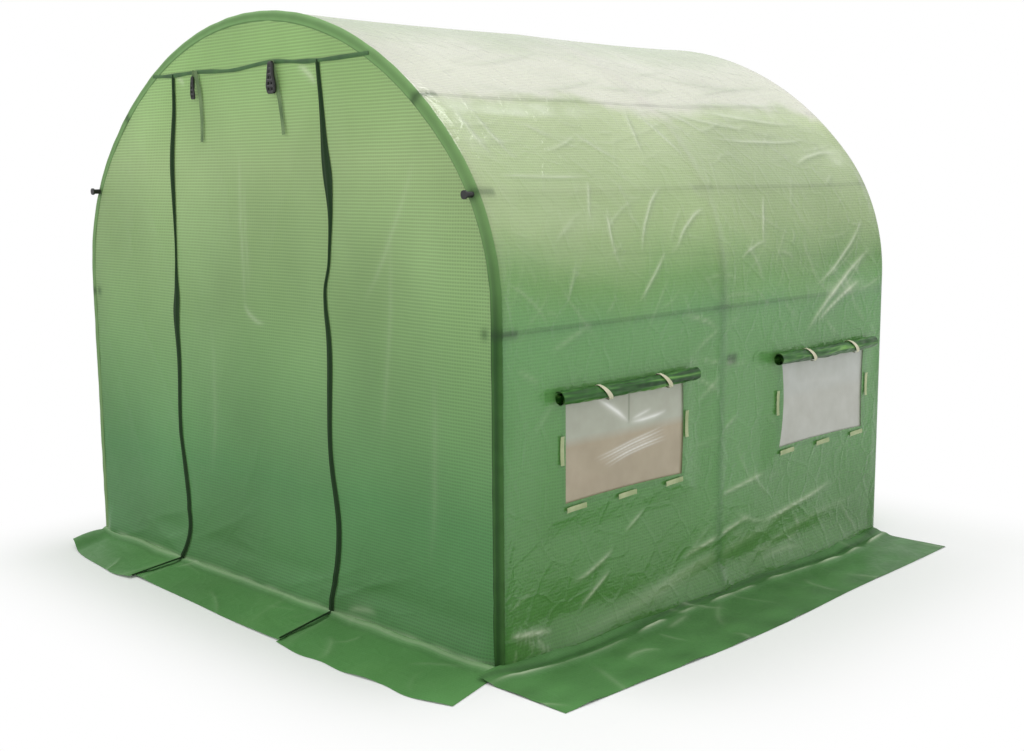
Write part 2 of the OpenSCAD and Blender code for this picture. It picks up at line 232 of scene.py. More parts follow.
def drape(s, v, lift):
    """Cloth at s round the tunnel and v along it, lifted off the hoops; it turns in over the end hoops."""
    x, z, out_x, out_z = section(s)
    beyond = np.abs(v) - (half_l - hoop_round)
    end = np.sign(v) * (beyond > 0)
    turn = np.clip(beyond / hoop_round, 0, math.pi / 2)
    flat = np.maximum(beyond - hoop_round * math.pi / 2, 0)
    drop = hoop_round * (1 - np.cos(turn)) + flat
    run = np.where(beyond > 0, end * (half_l - hoop_round + hoop_round * np.sin(turn)), v)
    out = lift * np.cos(turn) - drop
    return joined(mid_x + x + out_x * out, mid_y + run + end * lift * np.sin(turn), z + out_z * out)


def spaced(stops, step):
    """Grid lines through every stop, about one step apart."""
    parts = [np.linspace(a, b, max(2, round((b - a) / step) + 1))[:-1] for a, b in zip(stops, stops[1:])]
    return np.concatenate([*parts, [stops[-1]]])


def hump(t, stops):
    """0 at every stop and a parabola up to 1 midway between them."""
    stops = np.asarray(stops)
    place = np.clip(np.searchsorted(stops, t) - 1, 0, len(stops) - 2)
    share = (t - stops[place]) / (stops[place + 1] - stops[place])
    return np.clip(4 * share * (1 - share), 0, 1)


def smooth(t):
    """Eases from 0 to 1."""
    t = np.clip(t, 0, 1)
    return t * t * (3 - 2 * t)


def bell(t, width, power=2):
    """1 at t = 0, falling off to both sides over that width; flatter on top with a higher power."""
    return np.exp(-((t / width) ** power))


def swell(u, v, pitch, seed, count=9):
    """Slow rolling slack in cloth, about -1 to 1, of that pitch."""
    rng = np.random.default_rng(seed)
    total = np.zeros(np.broadcast(u, v).shape)
    for turn, phase, stretch in rng.uniform([0, 0, 0.7], [math.pi, 2 * math.pi, 1.6], (count, 3)):
        total += np.sin(2 * math.pi * (u * math.cos(turn) + v * math.sin(turn)) * stretch / pitch + phase)
    return total / math.sqrt(count)


def creases(u, v, lines):
    """Height of thin folds in cloth; a line is its ends (u, v, u, v), then width, rise and sideways bow."""
    height = np.zeros(np.broadcast(u, v).shape)
    for u0, v0, u1, v1, width, rise, bow in lines:
        reach = math.hypot(u1 - u0, v1 - v0) / 2
        along = ((u - (u0 + u1) / 2) * (u1 - u0) + (v - (v0 + v1) / 2) * (v1 - v0)) / (2 * reach)
        across = ((v - (v0 + v1) / 2) * (u1 - u0) - (u - (u0 + u1) / 2) * (v1 - v0)) / (2 * reach)
        fade = np.clip(1.1 * (1 - (along / reach) ** 2), 0, 1)
        across = across - bow * fade
        height += rise * fade * np.exp(-np.sqrt(across**2 + (0.25 * width) ** 2) / width)
    return height


def scatter(seed, count, low, high):
    """That many chance creases; low and high bound u, v, angle, half length, width, rise and bow."""
    found = []
    for u, v, angle, reach, width, rise, bow in np.random.default_rng(seed).uniform(low, high, (count, 7)):
        du = reach * math.cos(angle)
        dv = reach * math.sin(angle)
        found.append((u - du, v - dv, u + du, v + dv, width, rise, bow))
    return found


def sheet_mesh(name, points, flat, keep=None, **marks):
    """A sheet of quads through points[i][j], with the cloth's flat coordinates in metres as its UV map.
    marks, 0 to 1, are kept as colour attributes: highlights painted white on the film, and shade and dark
    marks painted on it."""
    rows, cols = points.shape[:2]
    at = np.arange(rows * cols).reshape(rows, cols)
    quads = np.stack([at[:-1, :-1], at[:-1, 1:], at[1:, 1:], at[1:, :-1]], axis=-1).reshape(-1, 4)
    if keep is not None:
        quads = quads[keep.reshape(-1)]
    used, corners = np.unique(quads, return_inverse=True)
    corners = corners.reshape(-1, 4)
    mesh = bpy.data.meshes.new(name)
    mesh.from_pydata(points.reshape(-1, 3)[used].tolist(), [], corners.tolist())
    mesh.uv_layers.new(name="cloth").data.foreach_set("uv", flat.reshape(-1, 2)[quads].reshape(-1))
    for label, mark in marks.items():
        mesh.attributes.new(label, "FLOAT", "POINT").data.foreach_set("value", mark.reshape(-1)[used])
    mesh.shade_smooth()
    made = bpy.data.objects.new(name, mesh)
    bpy.context.collection.objects.link(made)
    return made


def fit(piece, finish, slot, *solids, **cloth):
    """Gives a piece its material and puts it in its solids' place, hiding them; how it lies as a sheet is not
    used.
    """
    piece.data.materials.append(finish)
    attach(piece, "root")
    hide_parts(*solids)


def mix(mat, share, under, over, blend="MIX"):
    """One colour laid over another by a share."""
    return node(mat, "Mix", {0: share, 6: under, 7: over}, data_type="RGBA", blend_type=blend)


def wave(mat, uv, pitch, way, **more):
    """Fine ridges of that pitch in metres of cloth."""
    return node(mat, "TexWave", {"Vector": uv, "Scale": math.pi / (10 * pitch), **more}, bands_direction=way)


def woven_film(name, tones, rough, glow, crinkle, patch, thread, coat=0.0, wander=0.02):
    """Woven polyethylene film: a fine raised grid of threads, crinkles, and light that comes through it.
    tones are (height in metres, colour): the cloth is painted paler higher up, for the sky light that shines
    through it and is mirrored on it."""
    mat = material(name)
    at = node(mat, "TexCoord", output="Object")
    uv = node(mat, "TexCoord", output="UV")
    # colours of the painted shade, of the painted highlights and of the sky tint given to the light through
    # the film
    shade_green = rgb(34, 76, 26)
    highlight_tone = rgb(232, 241, 212)
    sky = rgb(206, 231, 180)
    white = rgb(255, 255, 255)
    moved = node(mat, "MapRange", {"Value": noise(mat, at, 3.2, 5), "From Min": 0.3, "From Max": 0.7,
                                   "To Min": -wander, "To Max": wander})
    height = node(mat, "SeparateXYZ", {"Vector": at}, "Z")
    level = node(mat, "Math", {0: height, 1: moved}, operation="ADD")
    share = node(mat, "MapRange", {"Value": level, "From Max": ridge_h})
    tone = ramp(mat, share, [(z / ridge_h, colour) for z, colour in tones])
    shade = ramp(mat, noise(mat, at, 1.9, 4), [(0.3, rgb(205, 205, 200)), (0.7, white)])
    patchy = mix(mat, patch * 2, tone, shade, "MULTIPLY")
    grid = [wave(mat, uv, thread_pitch, way, **{"Distortion": 0.6, "Detail": 1, "Detail Scale": 0.4})
            for way in "XY"]
    upright = node(mat, "Math", {0: grid[0], 1: 0.75}, operation="MULTIPLY")
    threads = node(mat, "Math", {0: upright, 1: grid[1]}, operation="MAXIMUM")
    fine = ramp(mat, threads, [(0.25, (1 - thread, 1 - thread, 1 - thread, 1)), (0.9, white)])
    # painted light: highlights painted white along crests and where the film mirrors the sky, shade painted
    # dark where it lies on what is behind it
    stress, contact = (node(mat, "Attribute", attribute_name=mark) for mark in ("stress", "contact"))
    dimmed = mix(mat, contact, mix(mat, 1.0, patchy, fine, "MULTIPLY"), shade_green)
    cloth = mix(mat, stress, dimmed, highlight_tone)
    warped = mix(mat, 0.07, uv, noise(mat, uv, 5, 2, "Color"))
    cells = node(mat, "TexVoronoi", {"Vector": warped, "Scale": 9}, feature="DISTANCE_TO_EDGE")
    folds = node(mat, "MapRange", {"Value": cells, "From Max": 0.09, "To Min": 1, "To Max": 0})
    puckers = noise(mat, uv, 34, 4, Distortion=0.8)
    normal = bump(mat, threads, 0.25, 0.0007)
    normal = bump(mat, puckers, crinkle, 0.006, Normal=normal)
    normal = bump(mat, folds, crinkle * 0.5, 0.004, Normal=normal)
    film = node(mat, "BsdfPrincipled", {
        "Base Color": cloth,
        "Roughness": between(mat, puckers, rough * 0.75, rough * 1.3),
        "Normal": normal,
        "Coat Weight": coat,
        "Coat Roughness": 0.14,
        "Coat Normal": normal,
    })
    # the light through the film is painted paler than the cloth, towards a sky tint, and darkened by the same
    # painted shade
    lit = mix(mat, contact, mix(mat, 0.65, cloth, sky), shade_green)
    through = node(mat, "BsdfTranslucent", {"Color": lit, "Normal": normal})
    return surface(mat, node(mat, "MixShader", {0: glow, 1: film, 2: through}))


def rail_place(name):
    """How far up the cloth a pair of rails lies, in metres from the ground line."""
    low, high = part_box(name)
    z = middle(name, 2)
    x = high[0] - (high[2] - low[2]) / 2 - mid_x
    if z < wall_h:
        return z
    if z < meet_z:
        return wall_h + shoulder_r * math.atan2(z - wall_h, x - shoulder_cx)
    return shoulder_end + crown_r * (math.atan2(z - crown_cz, x) - bend)


waist_s = rail_place("waist_rails")
shoulder_s = rail_place("shoulder_rails")
roof_s = rail_place("roof_rails")
hoop_v = [middle(legs, 1) - mid_y for legs in ("front_legs", "middle_legs", "back_legs")]
tie_s = middle("leg_ties", 2)
tie_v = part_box("leg_ties")[1][1] - mid_y - 0.008

# window openings, from the panes that lap behind them; their cut edges are drawn in by these bows
pane_lap = 0.012
pane_low, pane_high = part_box("right_window_panes")
sill_z = pane_low[2] + pane_lap
lintel_z = pane_high[2] - pane_lap
window_l = 0.575
window_v = [pane_low[1] - mid_y + pane_lap + window_l / 2, pane_high[1] - mid_y - pane_lap - window_l / 2]
window_h = lintel_z - sill_z
window_z = (sill_z + lintel_z) / 2
sill_bow = 0.005
edge_bows = [(0.0, -0.006), (0.022, 0.006)]

# creases kept from packing, each from one end to the other: (up the cloth, along the tunnel) twice,
# then width, rise and bow. They fan out under the roof rail and wander down the shoulder.
roof_fan = [
    (1.80, -0.13, 1.50, 0.02, 0.009, 0.0050, 0.01), (1.79, -0.03, 1.65, 0.23, 0.009, 0.0045, -0.02),
    (1.65, 0.22, 1.66, 0.86, 0.010, 0.0040, 0.02), (1.79, -0.15, 1.55, -0.23, 0.010, 0.0040, 0.01),
    (1.66, -0.50, 1.54, -0.37, 0.009, 0.0035, 0.01), (1.76, -0.97, 1.55, -0.93, 0.010, 0.0045, 0.02),
    (1.76, -0.90, 1.54, -0.83, 0.010, 0.0045, 0.02), (1.80, -0.84, 1.77, -0.38, 0.020, 0.0070, -0.05),
    (1.70, -0.71, 1.63, -0.62, 0.008, 0.0030, 0.0), (1.58, -0.69, 1.65, -0.50, 0.008, 0.0030, 0.01),
    (1.48, -0.95, 1.47, -0.56, 0.008, 0.0040, 0.0), (1.52, 0.66, 1.58, 0.98, 0.012, 0.0060, -0.02),
    (1.79, 0.05, 1.70, 0.50, 0.012, 0.0040, 0.02), (1.79, 0.25, 1.74, 0.92, 0.012, 0.0045, 0.02),
]
roof_lines = [
    (1.90, -0.30, 1.92, 0.30, 0.010, 0.0030, 0.01), (1.82, 0.05, 1.85, 0.95, 0.010, 0.0045, 0.01),
    (2.00, -0.80, 2.20, -0.20, 0.012, 0.0030, 0.03), (1.86, -0.55, 1.98, -0.10, 0.010, 0.0030, 0.02),
    (2.05, 0.10, 1.95, 0.75, 0.012, 0.0030, 0.02), (1.88, 0.35, 1.98, 0.95, 0.010, 0.0035, -0.02),
]
shoulder_lines = [
    (1.43, -0.23, 1.21, -0.40, 0.009, 0.0050, 0.03), (1.35, -0.03, 1.22, -0.22, 0.009, 0.0045, 0.02),
    (1.46, -0.57, 1.32, -0.62, 0.008, 0.0035, 0.01), (1.36, -0.53, 1.22, -0.53, 0.008, 0.0035, 0.01),
    (1.23, -0.65, 0.92, -0.86, 0.010, -0.0050, 0.01), (1.21, -0.28, 1.05, -0.44, 0.009, 0.0035, 0.0),
    (1.39, 0.34, 1.21, 0.27, 0.009, 0.0040, 0.01), (1.22, 0.29, 1.16, 0.12, 0.008, 0.0030, 0.01),
    (1.16, 0.98, 0.87, 0.53, 0.015, 0.0080, 0.02), (1.04, 0.90, 0.90, 0.60, 0.012, 0.0050, 0.01),
    (1.28, 0.95, 1.04, 0.60, 0.012, 0.0040, -0.02), (1.23, -1.04, 1.19, 0.0, 0.010, -0.0020, 0.0),
    (1.19, 0.0, 1.15, 0.95, 0.010, -0.0020, 0.0),
]
foot_lines = [
    (0.03, -0.85, 0.24, 0.55, 0.034, 0.0055, 0.03), (0.20, -0.75, 0.27, -0.55, 0.010, 0.0035, 0.01),
    (0.20, -0.57, 0.11, -0.72, 0.010, 0.0040, 0.0), (0.31, -0.50, 0.37, -0.40, 0.010, 0.0025, 0.0),
    (0.34, -0.02, 0.38, 0.30, 0.012, 0.0030, 0.0), (0.08, -0.50, 0.16, 0.05, 0.020, 0.0045, 0.01),
    (0.20, 0.25, 0.27, 0.75, 0.014, 0.0035, 0.01), (0.10, -1.06, 0.07, -0.85, 0.012, 0.0050, 0.0),
    (0.06, 0.10, 0.18, 0.95, 0.024, 0.0035, -0.02), (0.16, -0.20, 0.24, 0.20, 0.012, 0.0040, 0.0),
]
long_folds = [*roof_fan, *roof_lines, *shoulder_lines, *foot_lines]
along_run = math.pi / 2
fine_folds = [
    *scatter(cover_seed, 70, [roof_s - 0.20, -1, along_run - 0.4, 0.04, 0.007, 0.0006, -0.02],
             [roof_s + 0.5, 1, along_run + 0.4, 0.20, 0.012, 0.0026, 0.02]),
    *scatter(cover_seed + 1, 110, [waist_s, -1, 0.3, 0.03, 0.007, 0.0005, -0.02],
             [roof_s, 1, 2.9, 0.13, 0.012, 0.0024, 0.02]),
    *scatter(cover_seed + 3, 14, [0.02, -1.03, -0.25, 0.015, 0.006, 0.0012, 0.0],
             [0.09, -0.88, 0.25, 0.03, 0.008, 0.0026, 0.006]),
    *scatter(cover_seed + 2, 40, [0.05, -1, 0.8, 0.04, 0.008, 0.0006, -0.02],
             [waist_s, 1, 2.6, 0.16, 0.016, 0.0026, 0.02]),
]
# short pulls that fan out round each fitting
pulls = [
    (s + pull_near * math.cos(turn), v + pull_near * math.sin(turn),
     s + pull_far * math.cos(turn), v + pull_far * math.sin(turn), 0.011, 0.0012, 0.0)
    for s in (waist_s, shoulder_s, roof_s)
    for v in hoop_v
    for turn in (0.5, 0.95, 2.2, 2.65, 3.6, 4.1, 5.3, 5.8)
]
sharp_rise = 0.0045
broad_width = 0.016


def crest_marks(folds, share, broad_share, thin, aside=0.0):
    """Lines along raised folds, thinner than they are and set aside by a part of their width; the sharper
    the fold the stronger its line, and a broad one shows little."""
    marks = []
    for u0, v0, u1, v1, width, rise, bow in folds:
        off = aside * width
        strength = min(rise / sharp_rise, 1.0) * (broad_share if width > broad_width else share)
        if rise > 0:
            marks.append((u0 - off, v0 + off, u1 - off, v1 + off, thin * width, strength, bow))
    return marks


# along each crest a highlight is painted white; beside it, away from the light, the fold's own shade is
# painted
white_lines = crest_marks(long_folds, 0.85, 0.2, 0.42) + crest_marks(fine_folds, 0.52, 0.2, 0.42)
shade_lines = crest_marks(long_folds, 0.30, 0.1, 0.7, 0.8) + crest_marks(fine_folds, 0.26, 0.1, 0.7, 0.8)
# painted reflections of the sky, where the slack film turns up to it: up, along, half height, half length,
# how white
sky_patches = [
    (1.69, -0.97, 0.11, 0.05, 0.45), (1.757, -0.66, 0.030, 0.28, 1.05), (1.78, 0.55, 0.028, 0.40, 0.50),
    (1.56, 0.97, 0.05, 0.06, 0.45), (1.02, 0.80, 0.030, 0.17, 0.22), (1.62, -0.05, 0.10, 0.12, 0.12),
    (1.33, -0.76, 0.12, 0.26, 0.15),
]


def off_hoops(v):
    """0 on the hoops and beyond the last one, 1 midway between two."""
    return hump(v, hoop_v) * (np.abs(v) < hoop_v[2])


def cover_shape(s, v):
    """How far the cover lies off the hoops, and how much white highlight is painted on it, s round the tunnel
    and v along it.
    """
    up = np.minimum(s, girth - s)
    bay = off_hoops(v)
    free = smooth(bay * 6)
    span = hump(up, [-0.4, waist_s, shoulder_s, roof_s, ridge_s])
    near_window = np.ones_like(s)
    for opening in window_v:
        away = np.maximum(np.abs(v - opening) - window_l / 2, np.abs(up - window_z) - window_h / 2)
        near_window *= smooth(away / window_ease)
    slack = creases(up, v, [*long_folds, *fine_folds, *pulls])
    slack += slack_rise * swell(up, v, 0.75, cover_seed + 4)
    slack += foot_slack * smooth(1 - up / foot_h) * swell(up, v, 0.5, cover_seed + 5)
    # a rail behind the cloth stops it sagging in
    on_rail = sum(bell(up - rail, rail_reach) for rail in (waist_s, shoulder_s, roof_s, ridge_s))
    slack = np.where(slack < 0, slack * np.clip(1 - on_rail, 0, 1), slack)
    # over the crown the film is drawn tight from hoop to hoop
    loose = 1 - 0.75 * smooth((up - roof_s) / crown_ease)
    slack = np.clip(slack * free, slack_in, slack_out)
    lift = rest_lift + rail_lift * bay + loose * (slack - bay_sag * bay * span)
    lift = window_lift + near_window * (lift - window_lift)
    # on the right the foot of the wall kicks out over the spread skirt that is sewn to it
    kick = kick_out * smooth(1 - up / kick_h) ** 1.5
    kick = kick * smooth((half_l - np.abs(v)) / kick_ease) * (s < ridge_s)
    white = np.clip(creases(up, v, white_lines), 0, 0.8) * near_window * free
    shine = 0.7 + 0.3 * swell(up, v, 0.16, cover_seed + 6)
    for patch_s, patch_v, tall, long, share in sky_patches:
        white = white + share * shine * bell(up - patch_s, tall, 4) * bell(v - patch_v, long)
    return lift + kick, np.clip(white, 0, 0.85)


# half sizes of the shade painted on the film where things lie behind it: the middle leg, up to where its band
# ends, a rail, a fitting, and a leg tie, whose shade lies a little further back than the tie is
leg_band = 0.021
leg_end = 1.30
rail_band = 0.0085
fitting_band = 0.014
fitting_reach = 0.066
tie_half_h = 0.018
tie_half_l = 0.032
tie_shift = 0.012
# where shade is painted: a sloping fold along the shoulder, the shoulder's far half, and the foot on the
# ground
fold_s = 1.185
fold_slope = 0.05
fold_w = 0.007
far_shade = (1.05, 1.76)
foot_shade = 0.022


def painted_cover_shade(s, v):
    """How dark the cover is painted with shade where it lies on rails, fittings, the middle hoop and the leg
    ties, beside its folds, over the shoulder's far half and at its foot, with clouds of darker tone over the
    roof.
    """
    up = np.minimum(s, girth - s)
    # painted shade in the roof's creases, clouds of darker tone over the roof, painted shade beside every
    # fold, and the middle hoop's leg as a band of painted shade
    dark = 26 * creases(up, v, roof_lines)
    dark += 0.03 * smooth((up - roof_s) / 0.1) * swell(up, v, 0.4, cover_seed + 7)
    dark += np.clip(creases(up, v, shade_lines), 0, 0.35) * smooth(off_hoops(v) * 6)
    dark += 0.13 * bell(v - hoop_v[1], leg_band, 4) * smooth((leg_end - up) / 0.15)
    dark += 0.08 * bell(up - fold_s + fold_slope * v, fold_w) * smooth((v + 0.7) / 0.2)
    far_half = 0.15 * smooth((v + 0.25) / 0.7) * smooth((up - far_shade[0]) / 0.1)
    dark += far_half * smooth((far_shade[1] - up) / 0.12)
    # each rail's painted shade fades out along the tunnel; the fittings' painted shade is darkest at the
    # front hoop
    seen = [(waist_s, 0.28 * smooth((1.0 - v) / 0.7)), (shoulder_s, 0.11 * smooth((v + 0.5) / 0.5)),
            (roof_s, 0.20 * smooth((0.7 - v) / 0.7))]
    for rail, rail_dark in seen:
        dark += rail_dark * bell(up - rail, rail_band, 4)
        for hoop, fitting_dark in zip(hoop_v, (0.50, 0.10, 0.10)):
            beside = smooth((fitting_reach - np.abs(v - hoop)) / 0.016)
            dark += fitting_dark * bell(up - rail, fitting_band) * beside
    # painted shade of the green tie on the middle leg, and of the cloth's foot on the ground
    dark += 0.8 * bell(up - tie_s, tie_half_h, 4) * bell(v - tie_v - tie_shift, tie_half_l, 4)
    return np.clip(dark + 0.35 * smooth(1 - up / foot_shade), 0, 0.85)


def window_pull(s, v):
    """The cut edges of the windows are drawn in a little between their corners: shifts round and along."""
    up = np.minimum(s, girth - s)
    pull_s = np.zeros_like(s)
    pull_v = np.zeros_like(v)
    for opening, bows in zip(window_v, edge_bows):
        across = (v - opening) / (window_l / 2)
        upright = (up - window_z) / (window_h / 2)
        fall = bell(np.maximum(np.abs(upright) - 1, 0), 0.35) * (np.abs(upright) > 0.99)
        pull_s -= np.sign(upright) * sill_bow * np.clip(1 - across**2, 0, 1) * fall
        fall = bell(np.maximum(np.abs(across) - 1, 0), 0.25) * (np.abs(across) > 0.99)
        pull_v -= np.sign(across) * np.where(across < 0, *bows) * np.clip(1 - upright**2, 0, 1) * fall
    return np.where(s > ridge_s, -pull_s, pull_s), pull_v


# the cover is painted paler up the walls and near white over the roof, for the sky light that falls on it and
# is mirrored there
cover_film = woven_film("tunnel_cover", [
    (0.0, rgb(78, 139, 61)), (0.45, rgb(86, 151, 76)), (1.0, rgb(105, 165, 96)), (1.12, rgb(121, 171, 95)),
    (1.30, rgb(180, 205, 145)), (1.66, rgb(216, 231, 182)), (1.70, rgb(255, 254, 238)),
    (1.86, rgb(255, 254, 238)), (1.97, rgb(216, 231, 192)),
], rough=0.24, glow=0.28, crinkle=0.5, patch=0.20, thread=0.20, coat=0.55, wander=0.045)
up_stops = [0, sill_z, lintel_z, waist_s, wall_h, shoulder_s, shoulder_end, roof_s, ridge_s]
window_stops = [v + end * window_l / 2 for v in window_v for end in (-1, 1)]
front_start = -(half_l - hoop_round * 0.2)
back_end = half_l - hoop_round + hoop_round * math.pi / 2 + back_lap
run_stops = [front_start, *window_stops[:2], hoop_v[1], *window_stops[2:], hoop_v[2], back_end]
# the right side, which faces the camera, gets the finer grid, finest over the shoulder
right_lines = np.unique(np.concatenate([
    spaced([0, sill_z], 0.008), spaced([sill_z, lintel_z, waist_s], 0.0115),
    spaced([waist_s, wall_h, shoulder_s, shoulder_end, roof_s], 0.0062),
    spaced([roof_s, ridge_s, ridge_s + ridge_lap], 0.0105),
]))
left_lines = girth - spaced(up_stops, 0.014)[::-1]
for side, around, step in (("right", right_lines, 0.0076), ("left", left_lines, 0.0125)):
    s, v = np.meshgrid(around, spaced(run_stops, step), indexing="ij")
    lift, white = cover_shape(s, v)
    lift = lift + 0.0008 * (side == "right") * smooth((s - ridge_s + 0.03) / 0.03)
    shift_s, shift_v = window_pull(s, v)
    cell_up = np.minimum(s, girth - s)
    cell_up = (cell_up[:-1, :-1] + cell_up[1:, 1:]) / 2
    cell_v = (v[:-1, :-1] + v[1:, 1:]) / 2
    solid = np.ones(cell_up.shape, dtype=bool)
    for opening in window_v:
        solid &= ~((np.abs(cell_v - opening) < window_l / 2) & (np.abs(cell_up - window_z) < window_h / 2))
    cover = sheet_mesh(f"{side}_cover", drape(s + shift_s, v + shift_v, lift), joined(v, s), solid,
                       stress=white, contact=painted_cover_shade(s, v))
    cover_flat = (float(np.ptp(around)), back_end - front_start)
    fit(cover, cover_film, "cover_cloth", f"{side}_wall", f"{side}_shoulder_cover", "crown_cover",
        flat=cover_flat, held="stretched", rests_on=["front_crown", "middle_crown", "back_crown"],
        area=cover_flat[0] * cover_flat[1] - 2 * window_l * window_h)


# FRONT PANELS AND DOOR
# The same woven film, flat and matt, cut in four: a panel each side of the door, the door itself between
# its two zips, and a top panel over the header seam. The zips hang in slack curves, not straight.
zip_left_x = middle("left_zip", 0) - mid_x
zip_right_x = middle("right_zip", 0) - mid_x
header_z = middle("door_header", 2)
clip_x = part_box("front_clips")[1][0] - mid_x
clip_z = middle("front_clips", 2)
panel_tuck = 0.021
panel_swell = 0.006
panel_ease = 0.22
panel_kick = 0.022
panel_kick_ease = 0.07
panel_grid = (100, 240)
zip_pull = 0.07
clip_pull = 0.24
leg_fitting_in = 0.062
front_seed = 41


def curve(t, knots):
    """A smooth curve of one value through (t, value) knots."""
    at, value = np.array(knots, dtype=float).T
    slope = np.gradient(value, at)
    t = np.clip(t, at[0], at[-1])
    place = np.clip(np.searchsorted(at, t) - 1, 0, len(at) - 2)
    gap = at[place + 1] - at[place]
    p = (t - at[place]) / gap
    start = (1 + 2 * p) * (1 - p) ** 2 * value[place] + p * (1 - p) ** 2 * gap * slope[place]
    return start + p**2 * (3 - 2 * p) * value[place + 1] + p**2 * (p - 1) * gap * slope[place + 1]


def left_zip_x(z):
    """The left zip's slack line."""
    return zip_left_x + curve(z, [
        (0, 0.006), (0.05, 0.034), (0.12, 0.050), (0.22, 0.042), (0.35, 0.024), (0.5, 0.008), (0.75, 0.000),
        (0.95, 0.000), (1.02, 0.008), (1.1, 0.004), (1.25, 0.002), (1.4, 0.016), (1.6, 0.028),
        (header_z, 0.050)])


def right_zip_x(z):
    """The right zip's slack line."""
    return zip_right_x + curve(z, [
        (0, 0.012), (0.12, 0.020), (0.29, 0.028), (0.5, 0.010), (0.73, 0.000), (0.95, -0.002), (1.03, -0.014),
        (1.09, -0.017), (1.16, 0.000), (1.23, 0.008), (1.35, 0.022), (1.44, 0.021), (1.54, 0.008),
        (1.63, -0.002), (header_z, -0.014)])


def header_line(x):
    """The header seam's slightly wavy height."""
    return header_z + curve(x, [(-0.68, 0.002), (-0.5, -0.004), (-0.35, 0.000), (-0.1, -0.006), (0.12, 0.008),
                                (0.3, -0.002), (0.68, 0.004)])


def arch_half(z, inset):
    """Half width of the arch at a height, inset from the outside of the cover."""
    on_shoulder = shoulder_cx + np.sqrt(np.maximum((shoulder_r - inset) ** 2 - (z - wall_h) ** 2, 0))
    on_crown = np.sqrt(np.maximum((crown_r - inset) ** 2 - (z - crown_cz) ** 2, 0))
    return np.where(z < wall_h, half_w - inset, np.where(z < meet_z, on_shoulder, on_crown))


def arch_top(x, inset):
    """Height of the arch at a distance from the middle, inset from the outside of the cover."""
    on_shoulder = wall_h + np.sqrt(np.maximum((shoulder_r - inset) ** 2 - (np.abs(x) - shoulder_cx) ** 2, 0))
    on_crown = crown_cz + np.sqrt(np.maximum((crown_r - inset) ** 2 - x**2, 0))
    return np.where(np.abs(x) > meet_x, on_shoulder, on_crown)


# chance folds down the cloth, pulls round the two clips, and folds along the foot
front_folds = [
    *scatter(front_seed, 26, [-1.1, 0.1, 0.9, 0.10, 0.012, 0.0006, -0.04],
             [1.1, 1.7, 2.2, 0.5, 0.03, 0.003, 0.04]),
    *[(side * (clip_x - pull_near * math.cos(turn)), clip_z - pull_near * math.sin(turn),
       side * (clip_x - clip_pull * math.cos(turn)), clip_z - clip_pull * math.sin(turn), 0.012, 0.002, 0)
      for side in (-1, 1) for turn in (0.3, 0.75, 1.2)],
    *scatter(front_seed + 1, 14, [-1.0, 0.03, -0.3, 0.10, 0.014, 0.002, -0.03],
             [1.0, 0.2, 0.5, 0.35, 0.03, 0.006, 0.03]),
]
# pale lines of painted highlight: short creases beside the tops of the zips, and long soft ones down the door
# and the right panel
front_highlight_lines = [
    (zip_right_x - 0.125, header_z - 0.012, zip_right_x - 0.030, header_z - 0.080, 0.007, 0.70, 0.010),
    (zip_left_x + 0.065, header_z - 0.010, zip_left_x + 0.115, header_z - 0.045, 0.006, 0.55, 0.006),
    (-0.085, 1.56, -0.080, 0.98, 0.006, 0.22, 0.004), (-0.055, 1.45, -0.050, 1.05, 0.005, 0.16, 0.0),
    (-0.085, 1.02, 0.035, 0.95, 0.006, 0.40, -0.02), (0.82, 1.52, 0.56, 1.05, 0.008, 0.16, 0.02),
    (0.70, 1.30, 0.66, 0.60, 0.008, 0.12, 0.01), (0.90, 0.90, 0.86, 0.25, 0.010, 0.10, 0.02),
    (-0.30, 0.95, -0.34, 0.35, 0.010, 0.10, 0.02), (0.47, 0.03, 0.62, 0.05, 0.008, 0.35, 0.01),
]


def front_slack(x, z):
    """How far the front cloth stands out of its plane, none at the hoop and a kick out at the ground."""
    inset = np.minimum(arch_half(z, 0) - np.abs(x), np.maximum(arch_top(x, 0) - z, 0))
    hang = smooth((inset - panel_tuck) / panel_ease)
    out = panel_swell * swell(x, z, 0.9, front_seed + 2) + creases(x, z, front_folds)
    by_zip = bell(x - left_zip_x(z), zip_pull) + bell(x - right_zip_x(z), zip_pull)
    out = out + panel_swell * by_zip * swell(0 * x, z, 0.45, front_seed + 3)
    return hang * out + panel_kick * smooth(1 - z / kick_h) * smooth((inset - panel_tuck) / panel_kick_ease)


def front_at(x, z, lift=0.0):
    """A point on the front cloth."""
    return joined(mid_x + x, front_y - lift - front_slack(x, z), z)


def front_highlight(x, z):
    """The highlights painted white along the front cloth's creases, with a thin pale line of painted
    highlight along its foot.
    """
    foot = 0.32 * bell(z - 0.016, 0.007) * (0.7 + 0.3 * swell(x, 0 * z, 0.15, front_seed + 4))
    return np.clip(creases(x, z, front_highlight_lines) + foot, 0, 0.8)


def sheet_area(piece, flat):
    """The area of a sheet in square metres, no more than its flat size has."""
    return min(sum(face.area for face in piece.data.polygons), flat[0] * flat[1])


# painted paler towards the top, for the light that falls from above
front_cloth = woven_film("front_cloth", [
    (0.0, rgb(92, 154, 93)), (0.4, rgb(90, 156, 91)), (1.0, rgb(145, 185, 119)),
    (1.5, rgb(181, 211, 146)), (1.85, rgb(173, 217, 136)),
], rough=0.5, glow=0.25, crinkle=0.2, patch=0.30, thread=0.38)


